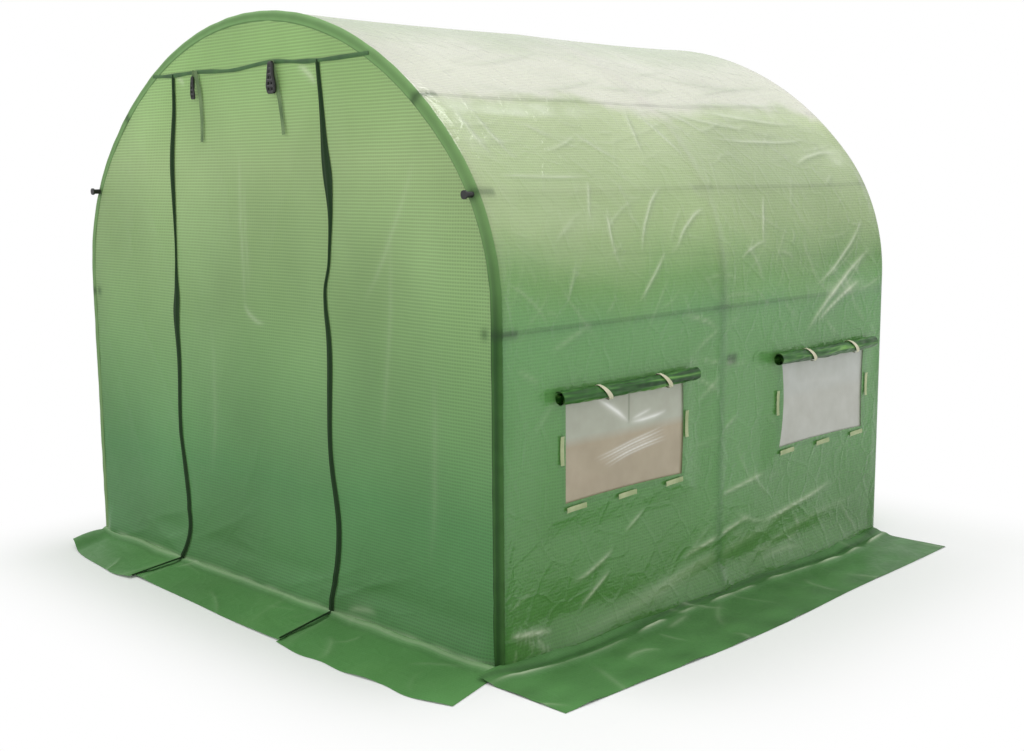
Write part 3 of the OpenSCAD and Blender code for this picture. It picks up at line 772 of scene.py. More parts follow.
def front_panel(name, solid, left_edge, right_edge, *rests_on):
    """A front panel from the ground up to the header, between two edges given as functions of height."""
    share, up = np.meshgrid(*(np.linspace(0, 1, count) for count in panel_grid))
    z = up * header_z
    x = left_edge(z) + share * (right_edge(z) - left_edge(z))
    z = up * header_line(x)
    # the waist fitting on the front leg is painted on as a dark spot, its shade seen through the film
    fitting = 0.6 * bell(np.abs(x) - half_w + leg_fitting_in, 0.016) * bell(z - waist_s, 0.018)
    piece = sheet_mesh(name, front_at(x, z), joined(x, z), stress=front_highlight(x, z), contact=fitting)
    flat = (float(x.max() - x.min()), header_z)
    fit(piece, front_cloth, "front_cloth", solid, flat=flat, held="hung", rests_on=list(rests_on),
        area=sheet_area(piece, flat))


front_panel("left_front_panel", "front_left_panel", lambda z: -arch_half(z, panel_tuck), left_zip_x,
            "front_legs", "front_shoulders")
front_panel("right_front_panel", "front_right_panel", right_zip_x, lambda z: arch_half(z, panel_tuck),
            "front_legs", "front_shoulders")
front_panel("door", "door_panel", left_zip_x, right_zip_x, "door_header")

top_reach = float(arch_half(np.array(header_z), panel_tuck)) - 0.004
across, up = np.meshgrid(np.linspace(-top_reach, top_reach, 150), np.linspace(0, 1, 26))
top_z = header_line(across) + up * (arch_top(across, panel_tuck) - header_line(across))
top_panel = sheet_mesh("top_front_panel", front_at(across, top_z), joined(across, top_z))
top_flat = (2 * top_reach, ridge_h - header_z)
fit(top_panel, front_cloth, "front_cloth", "front_top_panel", flat=top_flat, held="stretched",
    rests_on=["front_crown"], area=sheet_area(top_panel, top_flat))


# BACK PANEL
# One plain sheet of the front's woven film that closes the back arch, with no door in it.
# It is cut to the arch and lapped under the turned-in end of the cover.
back_in = 0.002
back_ease = 0.2
back_top_ease = 0.3
share, up = np.meshgrid(np.linspace(-1, 1, 150), np.linspace(0, 1, 150))
back_z = up * (ridge_h - panel_tuck - 0.0005)
back_x = share * arch_half(back_z, panel_tuck)
back_hang = smooth((arch_half(back_z, 0) - np.abs(back_x) - panel_tuck) / back_ease)
back_hang = back_hang * smooth((ridge_h - back_z) / back_top_ease)
back_folds = scatter(front_seed + 5, 30, [-1.1, 0.1, 0.7, 0.10, 0.012, 0.0006, -0.3],
                     [1.1, 1.8, 2.4, 0.5, 0.03, 0.003, 0.3])
back_out = panel_swell * swell(back_x, back_z, 0.9, front_seed + 6) + creases(back_x, back_z, back_folds)
back_points = joined(mid_x - back_x, back_y - back_in + back_hang * back_out, back_z)
back = sheet_mesh("back_sheet", back_points, joined(back_x, back_z))
back_flat = (2 * half_w, ridge_h)
fit(back, front_cloth, "front_cloth", "back_panel", flat=back_flat, held="stretched",
    rests_on=["back_legs", "back_crown"], area=sheet_area(back, back_flat))


# FRONT HEM
# A folded tape of darker green film sewn over the front hoop, joining cover and front panels. It wraps
# round the tube, so it reads as a rounded edge with a stitched line on each side.
hem_side = 0.012
hem_face = 0.036
hem_lift = 0.0016
hem_foot = 0.012
hem_start = half_l - hem_side
hem_end = half_l - hoop_round + hoop_round * math.pi / 2 + (hem_face - hoop_round)
hem_tape = material("hem_tape")
hem_at = node(hem_tape, "TexCoord", output="Object")
hem_uv = node(hem_tape, "TexCoord", output="UV")
# bands across its width: a dark sewn edge, the flat flange, the turn over the tube darkened with painted
# shade, and the far side painted lighter where the light falls
hem_across = node(hem_tape, "SeparateXYZ", {"Vector": hem_uv}, "X")
hem_share = node(hem_tape, "MapRange", {"Value": hem_across, "From Min": -hem_end, "From Max": -hem_start})
hem_band = ramp(hem_tape, hem_share, [
    (0.0, rgb(58, 104, 48)), (0.08, rgb(70, 114, 58)), (0.14, rgb(108, 156, 92)), (0.28, rgb(92, 140, 76)),
    (0.40, rgb(72, 120, 60)), (0.58, rgb(76, 124, 64)), (0.78, rgb(108, 154, 90)), (1.0, rgb(118, 164, 100)),
])
# painted shade: the tape is darker low down and whitens up the arch, where more light falls
hem_height = node(hem_tape, "SeparateXYZ", {"Vector": hem_at}, "Z")
hem_shade = ramp(hem_tape, node(hem_tape, "MapRange", {"Value": hem_height, "From Max": ridge_h}), [
    (0.0, rgb(132, 158, 122)), (0.5, rgb(140, 168, 130)), (0.8, rgb(222, 230, 216)),
    (0.95, rgb(255, 255, 255)),
])
hem_wear = noise(hem_tape, hem_at, 20, 5)
hem_worn = ramp(hem_tape, hem_wear, [(0.3, rgb(214, 216, 210)), (0.7, rgb(255, 255, 255))])
hem_tone = mix(hem_tape, 1.0, hem_band, hem_shade, "MULTIPLY")
hem_tone = mix(hem_tape, 0.7, hem_tone, hem_worn, "MULTIPLY")
# it is paler on the arch and the far leg, and stays dark on the near leg
hem_along = node(hem_tape, "SeparateXYZ", {"Vector": hem_uv}, "Y")
hem_paler = ramp(hem_tape, node(hem_tape, "MapRange", {"Value": hem_along, "From Max": girth}), [
    (place, (share, share, share, 1))
    for place, share in ((0.18, 0.0), (0.26, 0.5), (0.5, 0.35), (0.74, 0.5), (1.0, 0.55))
])
hem_tone = mix(hem_tape, hem_paler, hem_tone, rgb(132, 168, 108))
# shade painted dark where the tape lies over the fittings at the rails
hem_painted_shade = node(hem_tape, "Attribute", attribute_name="contact")
surface(hem_tape, node(hem_tape, "BsdfPrincipled", {
    "Base Color": mix(hem_tape, hem_painted_shade, hem_tone, rgb(28, 52, 26)),
    "Roughness": 0.6,
    "Specular IOR Level": 0.25,
    "Normal": bump(hem_tape, wave(hem_tape, hem_uv, 0.006, "Y"), 0.2, 0.0006),
}))

hem_around = spaced([hem_foot, wall_h, shoulder_end, ridge_s, girth - shoulder_end, girth - wall_h,
                     girth - hem_foot], 0.01)
hem_s, hem_v = np.meshgrid(hem_around, -np.linspace(hem_start, hem_end, 26)[::-1], indexing="ij")
hem_edge = np.minimum(hem_v - hem_v.min(), hem_v.max() - hem_v)
hem_ripple = 0.0006 * swell(hem_s, hem_v, 0.12, front_seed + 8)
hem_points = drape(hem_s, hem_v, hem_lift * smooth(hem_edge / 0.004) + hem_ripple + 0.0004)
hem_up = np.minimum(hem_s, girth - hem_s)
# where the fittings at the rails lie under the tape, shade is painted on it
hem_fitting_shade = sum(0.65 * bell(hem_up - rail, 0.016) for rail in (waist_s, shoulder_s, roof_s))
hem = sheet_mesh("front_edge_hem", hem_points, joined(hem_v, hem_s), contact=hem_fitting_shade)
fit(hem, hem_tape, "hem_tape", "front_hem", flat=(hem_end - hem_start, girth - 2 * hem_foot),
    held="stretched", rests_on=["front_legs", "front_shoulders", "front_crown"])


# ZIPS
# Two coil zips, dark green: woven tape each side and the closed coil standing proud down the middle.
# Each runs on over the ground flaps, where the slit between two flaps opens.
zip_w = 0.034
gape_more = 0.018
gape_l = 0.09
zip_steps = 260
tail_steps = 30


def run_along(path):
    """Distance along a path, at each of its points."""
    return np.concatenate([[0], np.cumsum(np.linalg.norm(np.diff(path, axis=0), axis=1))])


def ribbon(name, path, across, width, crown, count=5):
    """A band along path, its width along across; crown is its height from one edge (-1) to the other (1)."""
    along = np.gradient(path, axis=0)
    along /= np.linalg.norm(along, axis=1, keepdims=True)
    across = np.asarray(across) - along * np.sum(across * along, axis=1, keepdims=True)
    across /= np.linalg.norm(across, axis=1, keepdims=True)
    up = np.cross(along, across)
    place = np.linspace(-1, 1, count)
    wide = np.reshape(width * np.ones(len(path)), (-1, 1, 1)) / 2
    points = path[:, None] + across[:, None] * place[None, :, None] * wide
    points = points + up[:, None] * crown(place)[None, :, None]
    run = run_along(path)[:, None]
    return sheet_mesh(name, points, joined(place[None] * wide[:, 0] + 0 * run, run + 0 * place[None]))


def zip_crown(place):
    """Flat tape with the coil's round ridge down the middle."""
    return 0.0015 + 0.0042 * np.clip(1 - (place / 0.36) ** 2, 0, 1) ** 0.5


zip_tape = material("zip_tape")
zip_uv = node(zip_tape, "TexCoord", output="UV")
zip_fuzz = noise(zip_tape, zip_uv, 420, 2)
surface(zip_tape, node(zip_tape, "BsdfPrincipled", {
    "Base Color": ramp(zip_tape, zip_fuzz, [(0.3, rgb(16, 40, 16)), (0.75, rgb(34, 66, 28))]),
    "Roughness": 0.75,
    "Specular IOR Level": 0.25,
    "Normal": bump(zip_tape, wave(zip_tape, zip_uv, 0.0032, "Y"), 0.5, 0.0012),
}))
for side, line, gapes_at, slit_end in (("left", left_zip_x, 0.98, (-0.468, -1.354)),
                                       ("right", right_zip_x, 1.46, (0.480, -1.374))):
    up = np.linspace(header_z, 0.012, zip_steps)
    hanging = front_at(line(up), up, lift=0.001)
    tail_end = np.array([mid_x + slit_end[0], mid_y + slit_end[1], 0.008])
    tail = hanging[-1] + np.linspace(0, 1, tail_steps)[1:, None] * (tail_end - hanging[-1])
    path = np.concatenate([hanging, tail])
    gape = zip_w * (0.80 + 0.20 * swell(0 * up, up, 0.5, front_seed + 12, 4))
    gape = gape + gape_more * bell(up - gapes_at, gape_l)
    width = np.concatenate([gape, np.linspace(gape[-1] * 0.5, zip_w * 0.20, len(tail))])
    piece = ribbon(f"{side}_door_zip", path, [1.0, 0.0, 0.0], width, zip_crown, 13)
    zip_flat = (zip_w * 1.2, float(run_along(path)[-1]))
    fit(piece, zip_tape, "zip_tape", f"{side}_zip", flat=zip_flat, held="hung", rests_on=["door_header"],
        area=sheet_area(piece, zip_flat) * 0.98)


# DOOR HEADER
# The seam over the door: a narrow dark green woven tape, sewn across the front from hoop to hoop.
# Its stitches draw it into a low crest, and its width varies a little with their pull.
header_w = 0.013
header_lap = 0.01


def tape_material(name, dark, light, stitch=0.003, glow=0.1):
    """Flat tape: close ribs along it, rows of stitches across it and uneven wear."""
    mat = material(name)
    uv = node(mat, "TexCoord", output="UV")
    wear = noise(mat, node(mat, "TexCoord", output="Object"), 16, 5)
    tone = ramp(mat, wear, [(0.32, dark), (0.72, light)])
    ribs = wave(mat, uv, 0.0016, "X")
    weave = node(mat, "Math", {0: ribs, 1: wave(mat, uv, stitch, "Y")}, operation="MULTIPLY")
    face = node(mat, "BsdfPrincipled", {
        "Base Color": tone,
        "Roughness": between(mat, wear, 0.43, 0.67),
        "Normal": bump(mat, weave, 0.3, 0.0006),
    })
    through = node(mat, "BsdfTranslucent", {"Color": tone})
    return surface(mat, node(mat, "MixShader", {0: glow, 1: face, 2: through}))


def arched(height, base=0.0):
    """The crown of a tape that stands highest along its middle."""
    return lambda place: base + height * (1 - place**2)


header_x = np.linspace(-top_reach - header_lap, top_reach + header_lap, 220)
header_path = front_at(header_x, header_line(header_x), lift=0.0012)
header_wide = header_w * (1 + 0.12 * swell(header_x, 0 * header_x, 0.2, front_seed + 9))
header = ribbon("header_seam", header_path, [0.0, 0.0, 1.0], header_wide, arched(0.0016, 0.0012), 9)
header_flat = (header_w * 1.05, 2 * top_reach + 2 * header_lap)
fit(header, tape_material("header_tape", rgb(38, 80, 34), rgb(66, 112, 54), stitch=0.006), "hem_tape",
    "door_header", flat=header_flat, held="stretched", rests_on=["front_crown"],
    area=sheet_area(header, header_flat))


# DOOR STRAPS AND BUCKLES
# Two webbing straps sewn into the header hold the rolled-up door. Each hangs as a loose loop, with a black
# ladder buckle on its short end and a plain green tail.
strap_w = 0.014
strap_z = header_z + 0.004
strap_steps = 70
buckle_off = np.array([0, -0.004, 0.002])
webbing = tape_material("strap_webbing", rgb(84, 112, 68), rgb(120, 146, 98))
# where each is sewn in, its buckle's width and height, and its path's knots: sideways, up and out
straps = {
    "left": (-0.335, 0.024, 0.080, [
        (-0.016, -0.060, 0.014), (-0.012, -0.025, 0.012), (-0.002, 0.0, 0.012), (0.010, -0.04, 0.010),
        (0.020, -0.12, 0.008), (0.024, -0.20, 0.007), (0.022, -0.248, 0.008)]),
    "right": (0.134, 0.048, 0.102, [
        (0.000, -0.050, 0.016), (-0.002, -0.02, 0.014), (0.002, 0.006, 0.014), (0.010, -0.03, 0.012),
        (0.026, -0.10, 0.009), (0.038, -0.17, 0.008), (0.048, -0.235, 0.009)]),
}
# the buckle's rim and its bars, from end to end, in parts of its width and height
rim = [(-0.4, 1.0), (-0.6, 0.2), (-1.0, -0.6), (-0.8, -1.0), (0.8, -1.0), (1.0, -0.6), (0.6, 0.2), (0.4, 1.0)]
bars = [*zip(rim, [*rim[1:], rim[0]]), ((-0.6, 0.2), (0.6, 0.2)), ((-0.8, -0.2), (0.8, -0.2)),
        ((-0.95, -0.6), (0.95, -0.6)), ((-0.5, 0.6), (0.5, 0.6)), ((0.0, 1.0), (0.0, -1.0))]
for side, (sewn_x, wide, tall, knots) in straps.items():
    knots = np.array(knots)
    reach = run_along(knots)
    run = np.linspace(0, reach[-1], strap_steps)
    dx, dz, out = (curve(run, joined(reach, knots[:, k])) for k in range(3))
    path = front_at(sewn_x + dx, strap_z + dz)
    path[:, 1] -= out
    twist = np.linspace(0.7, 0.1, strap_steps)
    strap = ribbon(f"door_strap_{side}", path, joined(np.cos(twist), np.sin(twist), 0 * twist), strap_w,
                   arched(0.0008))
    fit(strap, webbing, "strap_webbing", "door_straps")
    buckle_name = f"strap_buckle_{side}"
    buckle = bpy.data.objects.new(buckle_name, bpy.data.curves.new(buckle_name, "CURVE"))
    buckle.data.dimensions = "3D"
    buckle.data.bevel_depth = 0.1 * wide + 0.0012
    buckle.data.bevel_resolution = 3
    buckle.data.use_fill_caps = True
    centre = path[0] + buckle_off
    for ends in bars:
        spline = buckle.data.splines.new("POLY")
        spline.points.add(1)
        for point, (x, z) in zip(spline.points, ends):
            at = centre + np.array([x * wide * 0.42, 0.003 * abs(z), z * tall * 0.46])
            point.co = (*at.tolist(), 1)
    bpy.context.collection.objects.link(buckle)
    fit(buckle, black_plastic, "black_plastic", "strap_buckles")


# WINDOW PANES
# Clear ribbed film over insect net, sewn in behind each opening. The front window has sagged in a point under
# its inner tie and shows a few stretch lines painted bright as highlights; the back one lies flat.
pane_depth = 0.0065
net_pitch = 0.0032
pane_clear = 0.10
pane_ease_l = 0.08
pane_ease_h = 0.06
inner_tie_v = 0.017
inner_tie_w = 0.0045
inner_tie_end = 0.035
pane_seed = 60
windows = [(side, sign, place, v) for side, sign in (("right", 1), ("left", -1))
           for place, v in enumerate(window_v)]


def pane_material(name, upper, lower):
    """Net-backed clear film: a fine square net, a milky film and a tint that changes from top to sill."""
    mat = material(name)
    at = node(mat, "TexCoord", output="Object")
    uv = node(mat, "TexCoord", output="UV")
    height = node(mat, "SeparateXYZ", {"Vector": at}, "Z")
    share = node(mat, "MapRange", {"Value": height, "From Min": sill_z, "From Max": lintel_z})
    tint = ramp(mat, share, [(0.50, lower), (0.60, upper)])
    haze = ramp(mat, noise(mat, at, 11, 4), [(0.3, rgb(228, 226, 222)), (0.7, rgb(255, 255, 255))])
    net = node(mat, "Math", {k: wave(mat, uv, net_pitch, "XY"[k]) for k in (0, 1)}, operation="MAXIMUM")
    stress, contact = (node(mat, "Attribute", attribute_name=mark) for mark in ("stress", "contact"))
    marked = mix(mat, contact, mix(mat, 0.6, tint, haze, "MULTIPLY"), rgb(84, 96, 74))
    # the stretch lines are painted white as highlights; the inner tie's dark line is painted on the film
    film = node(mat, "BsdfPrincipled", {
        "Base Color": mix(mat, stress, marked, rgb(246, 246, 242)),
        "Roughness": 0.22,
        "Normal": bump(mat, net, 0.2, 0.0004),
    })
    return surface(mat, node(mat, "MixShader", {0: pane_clear, 1: film, 2: node(mat, "BsdfTransparent")}))


pane_finish = [pane_material("front_window_film", rgb(180, 182, 168), rgb(178, 164, 142)),
               pane_material("back_window_film", rgb(190, 192, 188), rgb(190, 190, 184))]
stretch = [
    (-0.155 + 0.015 * k, -0.052 - 0.009 * k, 0.20 + 0.004 * k, 0.010 - 0.012 * k, 0.0026, rise, 0.002 * k)
    for k, rise in enumerate((0.0022, 0.0030, 0.0018, 0.0032, 0.0020))
]
vee = [(-0.16, 0.150, 0.02, 0.042, 0.007, 0.0040, 0.004), (0.02, 0.042, 0.21, 0.058, 0.006, 0.0035, -0.004),
       (0.03, 0.052, 0.13, 0.075, 0.005, 0.0025, 0.0)]
pane_folds = [[*stretch, *vee], [(-0.2, 0.05, 0.2, 0.03, 0.02, 0.0006, 0.01)]]
for side, sign, place, v in windows:
    fine = 2 if side == "right" else 1
    along = np.linspace(-1, 1, 90 * fine) * (window_l / 2 + pane_lap * 1.6)
    tall = np.linspace(-1, 1, 60 * fine) * (window_h / 2 + pane_lap * 1.2)
    pane_v, pane_z = np.meshgrid(along, tall)
    inside = smooth((window_l / 2 - np.abs(pane_v)) / pane_ease_l)
    inside = inside * smooth((window_h / 2 - np.abs(pane_z)) / pane_ease_h)
    marks = creases(pane_v, pane_z, pane_folds[place])
    # the inner tie shows through the film as a dark line, down from the lintel
    tie_mark = bell(pane_v - inner_tie_v, inner_tie_w) * smooth((pane_z - inner_tie_end) / 0.02)
    depth = -pane_depth + inside * (marks + 0.002 * swell(pane_v, pane_z, 0.3, pane_seed + place))
    points = joined(mid_x + sign * (half_w + depth), mid_y + v + pane_v, window_z + pane_z)
    points = points if sign > 0 else points[:, ::-1]
    pane = sheet_mesh(f"{side}_window_{place + 1}", points, joined(pane_v, pane_z),
                      stress=np.clip(marks / 0.003, 0, 1) ** 1.3 * inside,
                      contact=0.5 * tie_mark * (place == 0))
    fit(pane, pane_finish[place], "window_net", f"{side}_window_panes",
        flat=(float(np.ptp(along)), float(np.ptp(tall))), held="stretched", rests_on=[f"{side}_cover"])


# ROLLED WINDOW FLAPS
# Each window's flap of green film is rolled up outside, over the opening, and hangs from its sewn top edge.
# The roll is loose: its turns show at the ends, it sags between the ties and shines in patches.
roll_l = 0.66
roll_shift = -0.010
roll_r = 0.0228
roll_core = 0.007
roll_turns = 3.6
roll_steps = 150
roll_x = half_w + 0.0253
roll_seed = 70


def roll_sag(share):
    """How far the roll hangs, at a share of its length from the middle; it slopes a little."""
    return -0.004 * np.sin(math.pi * (share + 0.5)) + 0.003 * share


# glossy green film, mottled dark and pale in streaks drawn out along the roll; the pale streaks are painted
# sheen
rolled = material("rolled_film")
rolled_at = node(rolled, "TexCoord", output="Object")
drawn = node(rolled, "Mapping", {"Vector": rolled_at, "Scale": (1.0, 0.07, 1.0)})
surface(rolled, node(rolled, "BsdfPrincipled", {
    "Base Color": ramp(rolled, noise(rolled, drawn, 60, 3, Distortion=0.4), [
        (0.36, rgb(20, 60, 14)), (0.54, rgb(46, 98, 34)), (0.74, rgb(112, 160, 80))]),
    "Roughness": 0.32,
    "Specular IOR Level": 0.3,
    "Normal": bump(rolled, noise(rolled, drawn, 70, 3, Distortion=0.4), 0.5, 0.004),
}))
wind = np.linspace(0, roll_turns, roll_steps)
radius = roll_r + (roll_core - roll_r) * wind / roll_turns
w, y = np.meshgrid(np.arange(roll_steps), np.linspace(-roll_l / 2, roll_l / 2, 110), indexing="ij")
for side, sign, place, v in windows:
    turned = math.pi * 0.75 - sign * 2 * math.pi * wind
    lump = 1 + 0.05 * swell(turned[w] * 0.02, y, 0.16, roll_seed + place)
    lump = lump + 0.04 * swell(turned[w] * 0.05, y, 0.05, roll_seed + 2 + place)
    x = roll_x + radius[w] * lump * np.cos(turned[w]) * sign
    z = lintel_z + roll_sag(y / roll_l) + radius[w] * lump * np.sin(turned[w])
    end_droop = 0.004 * swell(w * 0.004, y, 0.4, roll_seed + 4 + place)
    points = joined(mid_x + sign * x, mid_y + v + roll_shift + y + end_droop, z)
    flap_l = float(run_along(joined(radius * np.cos(turned), radius * np.sin(turned)))[-1])
    run = np.linspace(0, flap_l, roll_steps)
    flap = sheet_mesh(f"{side}_rolled_flap_{place + 1}", points, joined(y, run[w]))
    fit(flap, rolled, "roll_cloth", f"{side}_window_rolls", flat=(roll_l, flap_l), held="folded",
        rests_on=[f"{side}_cover"])


# FLAP TIES
# Two tapes of cream cotton hold each rolled flap. Each is sewn into the seam behind the roll and wound
# once round it, on the slant.
tie_w = 0.015
tie_places = (-0.20, 0.25)
tie_slant = -0.026
tie_r = roll_r * 1.06 + 0.0016
cream = tape_material("cream_tape", rgb(196, 192, 160), rgb(226, 222, 196))
turn = np.linspace(0, 2 * math.pi, 60)
for side, sign, place, v in windows:
    for which, share in enumerate(tie_places):
        y = v + roll_shift + share * roll_l + tie_slant * np.sin(turn + 0.2)
        path = joined(mid_x + sign * (roll_x + tie_r * np.cos(turn)), mid_y + y,
                      lintel_z + roll_sag(share) + tie_r * np.sin(turn))
        tie = ribbon(f"{side}_flap_tie_{place + 1}{which + 1}", path, [0.0, -sign, 0.0], tie_w,
                     arched(0.0006))
        fit(tie, cream, "cream_tape", f"{side}_roll_ties", flat=(tie_w, float(run_along(path)[-1])),
            held="folded", rests_on=[f"{side}_rolled_flap_{place + 1}"])


# WINDOW TABS
# Five short tabs of pale hook tape sewn over the edge of each window: three along the sill and one up each
# end. They hold the flap down when it is shut.
tab_l = 0.090
tab_w = 0.017
tab_slope = 0.04
tab_off = (sill_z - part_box("right_window_tabs")[0][2]) - tab_w / 2
tab_reach = (window_l - tab_l) / 2
tab_finish = tape_material("pale_tab", rgb(156, 172, 122), rgb(194, 202, 158), stitch=0.0025, glow=0.15)
reach = np.linspace(-tab_l / 2, tab_l / 2, 14)
stand = 0.0028 + 0.0022 * (np.abs(reach) / (tab_l / 2)) ** 3
tab_spots = [*((along, -(window_h / 2 + tab_off), True) for along in (-tab_reach, 0.0, tab_reach)),
             *((end * (window_l / 2 + tab_off), 0.0, False) for end in (-1, 1))]
for side, sign, place, v in windows:
    for which, (along, tall, on_sill) in enumerate(tab_spots):
        run, rise = (reach, tab_slope * reach) if on_sill else (0 * reach, reach)
        path = joined(mid_x + sign * (half_w + stand), mid_y + v + run + along, window_z + rise + tall)
        facing = [0.0, 0.0, 1.0] if on_sill else [0.0, -1.0, 0.0]
        tab = ribbon(f"{side}_window_tab_{place + 1}{which + 1}", path, facing, tab_w, arched(sign * 0.001))
        fit(tab, tab_finish, "pale_tab", f"{side}_window_tabs", flat=(tab_w, tab_l), held="laid",
            rests_on=[f"{side}_cover"])


# GROUND SKIRTS
# Flaps of heavier green film sewn to the foot of the cover and spread on the ground to be weighed down.
# The front one is slit at the zips; on the left and at the back the skirt is tucked in under the cover.
skirt_seed = 91
skirt_lift = 0.0015
toe = 0.018
skirt_finish = woven_film("skirt_film", [
    (0.0, rgb(88, 146, 78)), (0.03, rgb(94, 150, 82)), (0.06, rgb(108, 160, 92)),
], rough=0.55, glow=0.0, crinkle=0.25, patch=0.3, thread=0.10)
skirt_folds = scatter(skirt_seed, 110, [-1.4, -1.4, 0, 0.05, 0.008, 0.0010, -0.03],
                      [1.6, 1.2, 3.14, 0.20, 0.020, 0.0050, 0.03])
# highlights painted white along the skirt's folds
skirt_highlights = [(*fold[:4], 0.4 * fold[4], 50 * fold[5], fold[6]) for fold in skirt_folds]


def skirt_rise(x, y):
    """Height of the spread film over the ground: it lies flat with a few soft folds."""
    rolls = creases(x, y, skirt_folds) + 0.004 * np.maximum(swell(x, y, 0.3, skirt_seed + 1), 0)
    return skirt_lift + rolls


def spread_flap(name, solid, sewn, free, raise_left=0.0, raise_right=0.0):
    """A flap from its free edge to its sewn one, both curves through (share, x, y) from left to right."""
    share = np.linspace(0, 1, 150)
    sewn_edge, free_edge = (joined(*(curve(share, np.array(edge)[:, [0, k]]) for k in (1, 2)))
                            for edge in (sewn, free))
    inward = np.linspace(0, 1, 40)[:, None, None]
    ground = free_edge[None] * (1 - inward) + sewn_edge[None] * inward
    x, y = ground[..., 0], ground[..., 1]
    inward = inward[..., 0]
    z = skirt_rise(x, y) + 0.012 * smooth((inward - 0.85) / 0.15)
    z = z + raise_left * smooth(1 - share / 0.18)[None] * (1 - inward**2)
    z = z + raise_right * smooth(1 - (1 - share) / 0.12)[None] * (1 - inward**2)
    # the sewn edge stands up as a welt, with a highlight painted pale along it and shade painted dark under
    # it
    welt = 0.2 * bell(inward - 0.96, 0.03)
    under = 0.22 * bell(inward - 0.87, 0.04) + 0 * x
    piece = sheet_mesh(name, joined(mid_x + x, mid_y + y, z), joined(x, y),
                       stress=np.clip(0.6 * creases(x, y, skirt_highlights) + welt, 0, 0.5), contact=under)
    flat = (float(np.ptp(x)), float(np.ptp(y)))
    fit(piece, skirt_finish, "skirt_cloth", solid, flat=flat, held="laid", rests_on=["right_cover"],
        area=sheet_area(piece, flat))


sewn_y = -half_l - toe
left_slit = float(left_zip_x(np.array(0.0)))
right_slit = float(right_zip_x(np.array(0.0)))
spread_flap("left_front_flap", "front_left_skirt",
            [(0, -half_w + 0.02, sewn_y + 0.012), (0.5, (left_slit - half_w) / 2, sewn_y),
             (1, left_slit + 0.012, sewn_y)],
            [(0, -1.02, -1.300), (0.25, -0.88, -1.338), (0.55, -0.69, -1.362), (0.8, -0.55, -1.378),
             (1, -0.465, -1.366)], raise_left=0.03, raise_right=0.003)
spread_flap("door_flap", "door_skirt",
            [(0, left_slit, sewn_y), (0.5, (left_slit + right_slit) / 2, sewn_y),
             (1, right_slit + 0.012, sewn_y)],
            [(0, -0.472, -1.338), (0.2, -0.27, -1.344), (0.45, -0.02, -1.356), (0.62, 0.16, -1.368),
             (0.8, 0.32, -1.374), (1, 0.482, -1.376)], raise_right=0.003)
spread_flap("right_front_flap", "front_right_skirt",
            [(0, right_slit, sewn_y), (0.6, 0.85, sewn_y), (1, half_w + 0.005, sewn_y)],
            [(0, 0.478, -1.386), (0.12, 0.61, -1.404), (0.28, 0.72, -1.394), (0.45, 0.84, -1.402),
             (0.6, 0.98, -1.384), (0.8, 1.12, -1.392), (1, 1.262, -1.352)])

# the right side's skirt is one strip along the wall; its free edge wanders, furthest by the front window
strip_low, strip_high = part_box("right_skirt")
side_lap = 0.008
side_more = 0.012
side_out = strip_high[0] - mid_x
side_y0 = strip_low[1] - mid_y - 0.036
side_y1 = half_l - 0.012
out_x, along_y = np.meshgrid(np.linspace(half_w - side_lap, side_out + side_more, 66),
                             np.linspace(side_y0, side_y1, 320))
edge_wander = 0.003 * swell(0 * along_y, along_y, 0.8, skirt_seed + 2)
edge_wander = edge_wander + curve(along_y, [(-1.16, 0.030), (-0.8, 0.036), (-0.4, 0.048), (-0.1, 0.044),
                                            (0.4, 0.018), (0.75, 0.008), (1.1, 0.0)])
strip_x = out_x + edge_wander * (out_x - half_w) / (side_out - half_w)
# a crumpled roll runs along it a hand's breadth out from the wall, with a highlight painted white on its
# crest
crumple_out = 0.072
crumple_wander = 0.018
crumple_h = 0.012
crumple_w = 0.016
roll_out = strip_x - half_w - crumple_out
roll_out = roll_out - crumple_wander * swell(0 * along_y, along_y, 0.9, skirt_seed + 4, 5)
crumple = np.clip(0.5 + 0.5 * swell(strip_x, along_y, 0.22, skirt_seed + 5), 0, 1)
strip_z = skirt_rise(strip_x, along_y) + 0.014 * smooth(1 - (out_x - half_w) / 0.05)
strip_z = strip_z + crumple_h * bell(roll_out, crumple_w) * (0.4 + 0.6 * crumple)
strip_white = 0.55 * bell(roll_out, 0.007) * crumple + creases(strip_x, along_y, skirt_highlights)
# darker overall and more so towards the back, mottled, with shade painted in the hollow between the roll and
# the wall
strip_dark = 0.27 + 0.14 * smooth((along_y + 0.9) / 0.8)
strip_dark = strip_dark + 0.09 * swell(strip_x, along_y, 0.15, skirt_seed + 6)
strip_dark = strip_dark + 0.4 * bell(roll_out + 0.036, 0.013)
strip = sheet_mesh("right_ground_skirt", joined(mid_x + strip_x, mid_y + along_y, strip_z),
                   joined(strip_x, along_y), stress=np.clip(strip_white, 0, 0.6), contact=strip_dark)
fit(strip, skirt_finish, "skirt_cloth", "right_skirt",
    flat=(side_out + side_more - half_w + side_lap, side_y1 - side_y0), held="laid", rests_on=["right_cover"])

# tucked skirts: the same strips turned in under the left wall and the back panel
for side, count_x, count_y in (("left", 40, 200), ("back", 200, 40)):
    low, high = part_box(f"{side}_skirt")
    x, y = np.meshgrid(np.linspace(low[0], high[0], count_x), np.linspace(low[1], high[1], count_y))
    tuck = sheet_mesh(f"{side}_tucked_skirt", joined(x, y, skirt_rise(x, y)), joined(x, y))
    fit(tuck, skirt_finish, "skirt_cloth", f"{side}_skirt", flat=(high[0] - low[0], high[1] - low[1]),
        held="folded", rests_on=["right_cover"])


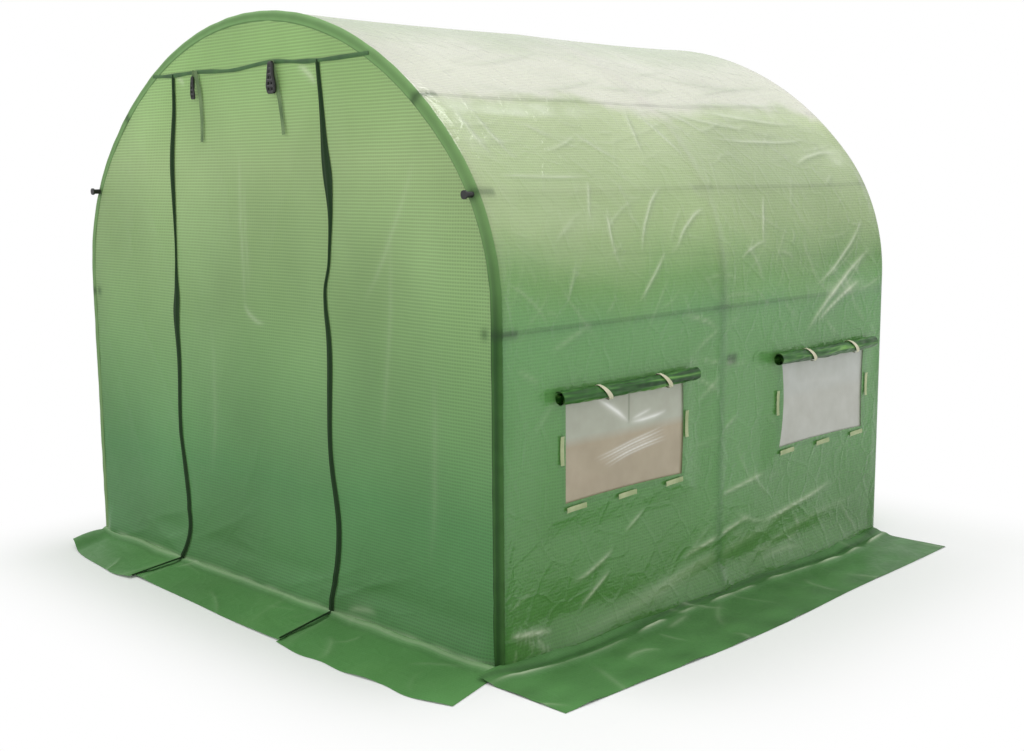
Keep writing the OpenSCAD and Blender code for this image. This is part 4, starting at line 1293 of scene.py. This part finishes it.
# STUDIO
# A plain white floor that fades into the backdrop, an even white surround, and two large soft lamps: the key
# lamp over the front left and a second one above the roof, towards the right back.
reach = 40
floor_mesh = bpy.data.meshes.new("floor")
floor_mesh.from_pydata([(-reach, -reach, 0), (reach, -reach, 0), (reach, reach, 0), (-reach, reach, 0)], [],
                       [(0, 1, 2, 3)])
floor = bpy.data.objects.new("floor", floor_mesh)
bpy.context.collection.objects.link(floor)
# the paper whitens with its distance from a box round the tunnel and its shadow
paper = material("paper_floor")
shadow_middle = (mid_x + 0.34, mid_y - 0.06, 0)
shadow_half = (1.24, 1.20, 0)
shadow_fade = 0.65
paper_out = node(paper, "TexCoord", output="Object")
for operation, other in (("SUBTRACT", shadow_middle), ("ABSOLUTE", (0, 0, 0)), ("SUBTRACT", shadow_half),
                         ("MAXIMUM", (0, 0, 0))):
    paper_out = node(paper, "VectorMath", {0: paper_out, 1: other}, operation=operation)
paper_far = node(paper, "VectorMath", {0: paper_out}, "Value", operation="LENGTH")
paper_fade = node(paper, "MapRange", {"Value": paper_far, "From Max": shadow_fade},
                  interpolation_type="SMOOTHSTEP")
paper_skin = node(paper, "BsdfDiffuse", {"Color": (0.90, 0.90, 0.90, 1)})
paper_sweep = node(paper, "Emission", {"Color": (1, 1, 1, 1), "Strength": 1.0})
surface(paper, node(paper, "MixShader", {0: paper_fade, 1: paper_skin, 2: paper_sweep}))
floor.data.materials.append(paper)

surround = bpy.data.worlds.new("surround")
bpy.context.scene.world = surround
surround.use_nodes = True
surround.node_tree.nodes.clear()
# a little dimmer as a light than where it is seen, mirrored or looked at through film
seen = node(surround, "LightPath", output="Is Camera Ray")
for way in ("Is Glossy Ray", "Is Transmission Ray"):
    seen = node(surround, "Math", {0: seen, 1: node(surround, "LightPath", output=way)}, operation="MAXIMUM")
soft, plain = (node(surround, "Background", {"Color": (1, 1, 1, 1), "Strength": strength})
               for strength in (0.93, 1.0))
node(surround, "OutputWorld", {"Surface": node(surround, "MixShader", {0: seen, 1: soft, 2: plain})})

lamp_aim = Vector((0, 0, 0.8))
for name, energy, size, place in (("key_softbox", 90, 3.6, (-4.0, -3.0, 6.5)),
                                  ("top_softbox", 95, 2.8, (1.2, 1.4, 6.8))):
    lamp = bpy.data.objects.new(name, bpy.data.lights.new(name, "AREA"))
    lamp.data.shape = "DISK"
    lamp.data.size = size
    lamp.data.energy = energy
    lamp.location = place
    lamp.rotation_euler = (lamp_aim - lamp.location).to_track_quat("-Z", "Y").to_euler()
    bpy.context.collection.objects.link(lamp)

# the camera stands off the front right corner at head height, tipped a little down
camera = bpy.data.objects.new("camera", bpy.data.cameras.new("camera"))
azimuth, tip, roll = 0.782, 0.150, -0.007
forward = Vector((-math.sin(azimuth) * math.cos(tip), math.cos(azimuth) * math.cos(tip), -math.sin(tip)))
level = Vector((math.cos(azimuth), math.sin(azimuth), 0))
right = math.cos(roll) * level + math.sin(roll) * level.cross(forward)
camera_at = Vector((mid_x + 3.852, mid_y - 3.717, 1.455))
camera_turn = Matrix((right, right.cross(forward), -forward)).transposed().to_4x4()
camera.matrix_world = Matrix.Translation(camera_at) @ camera_turn
camera.data.sensor_width = 36
camera.data.lens = 46.81
bpy.context.collection.objects.link(camera)
bpy.context.scene.camera = camera
bpy.context.scene.view_settings.view_transform = "Standard"
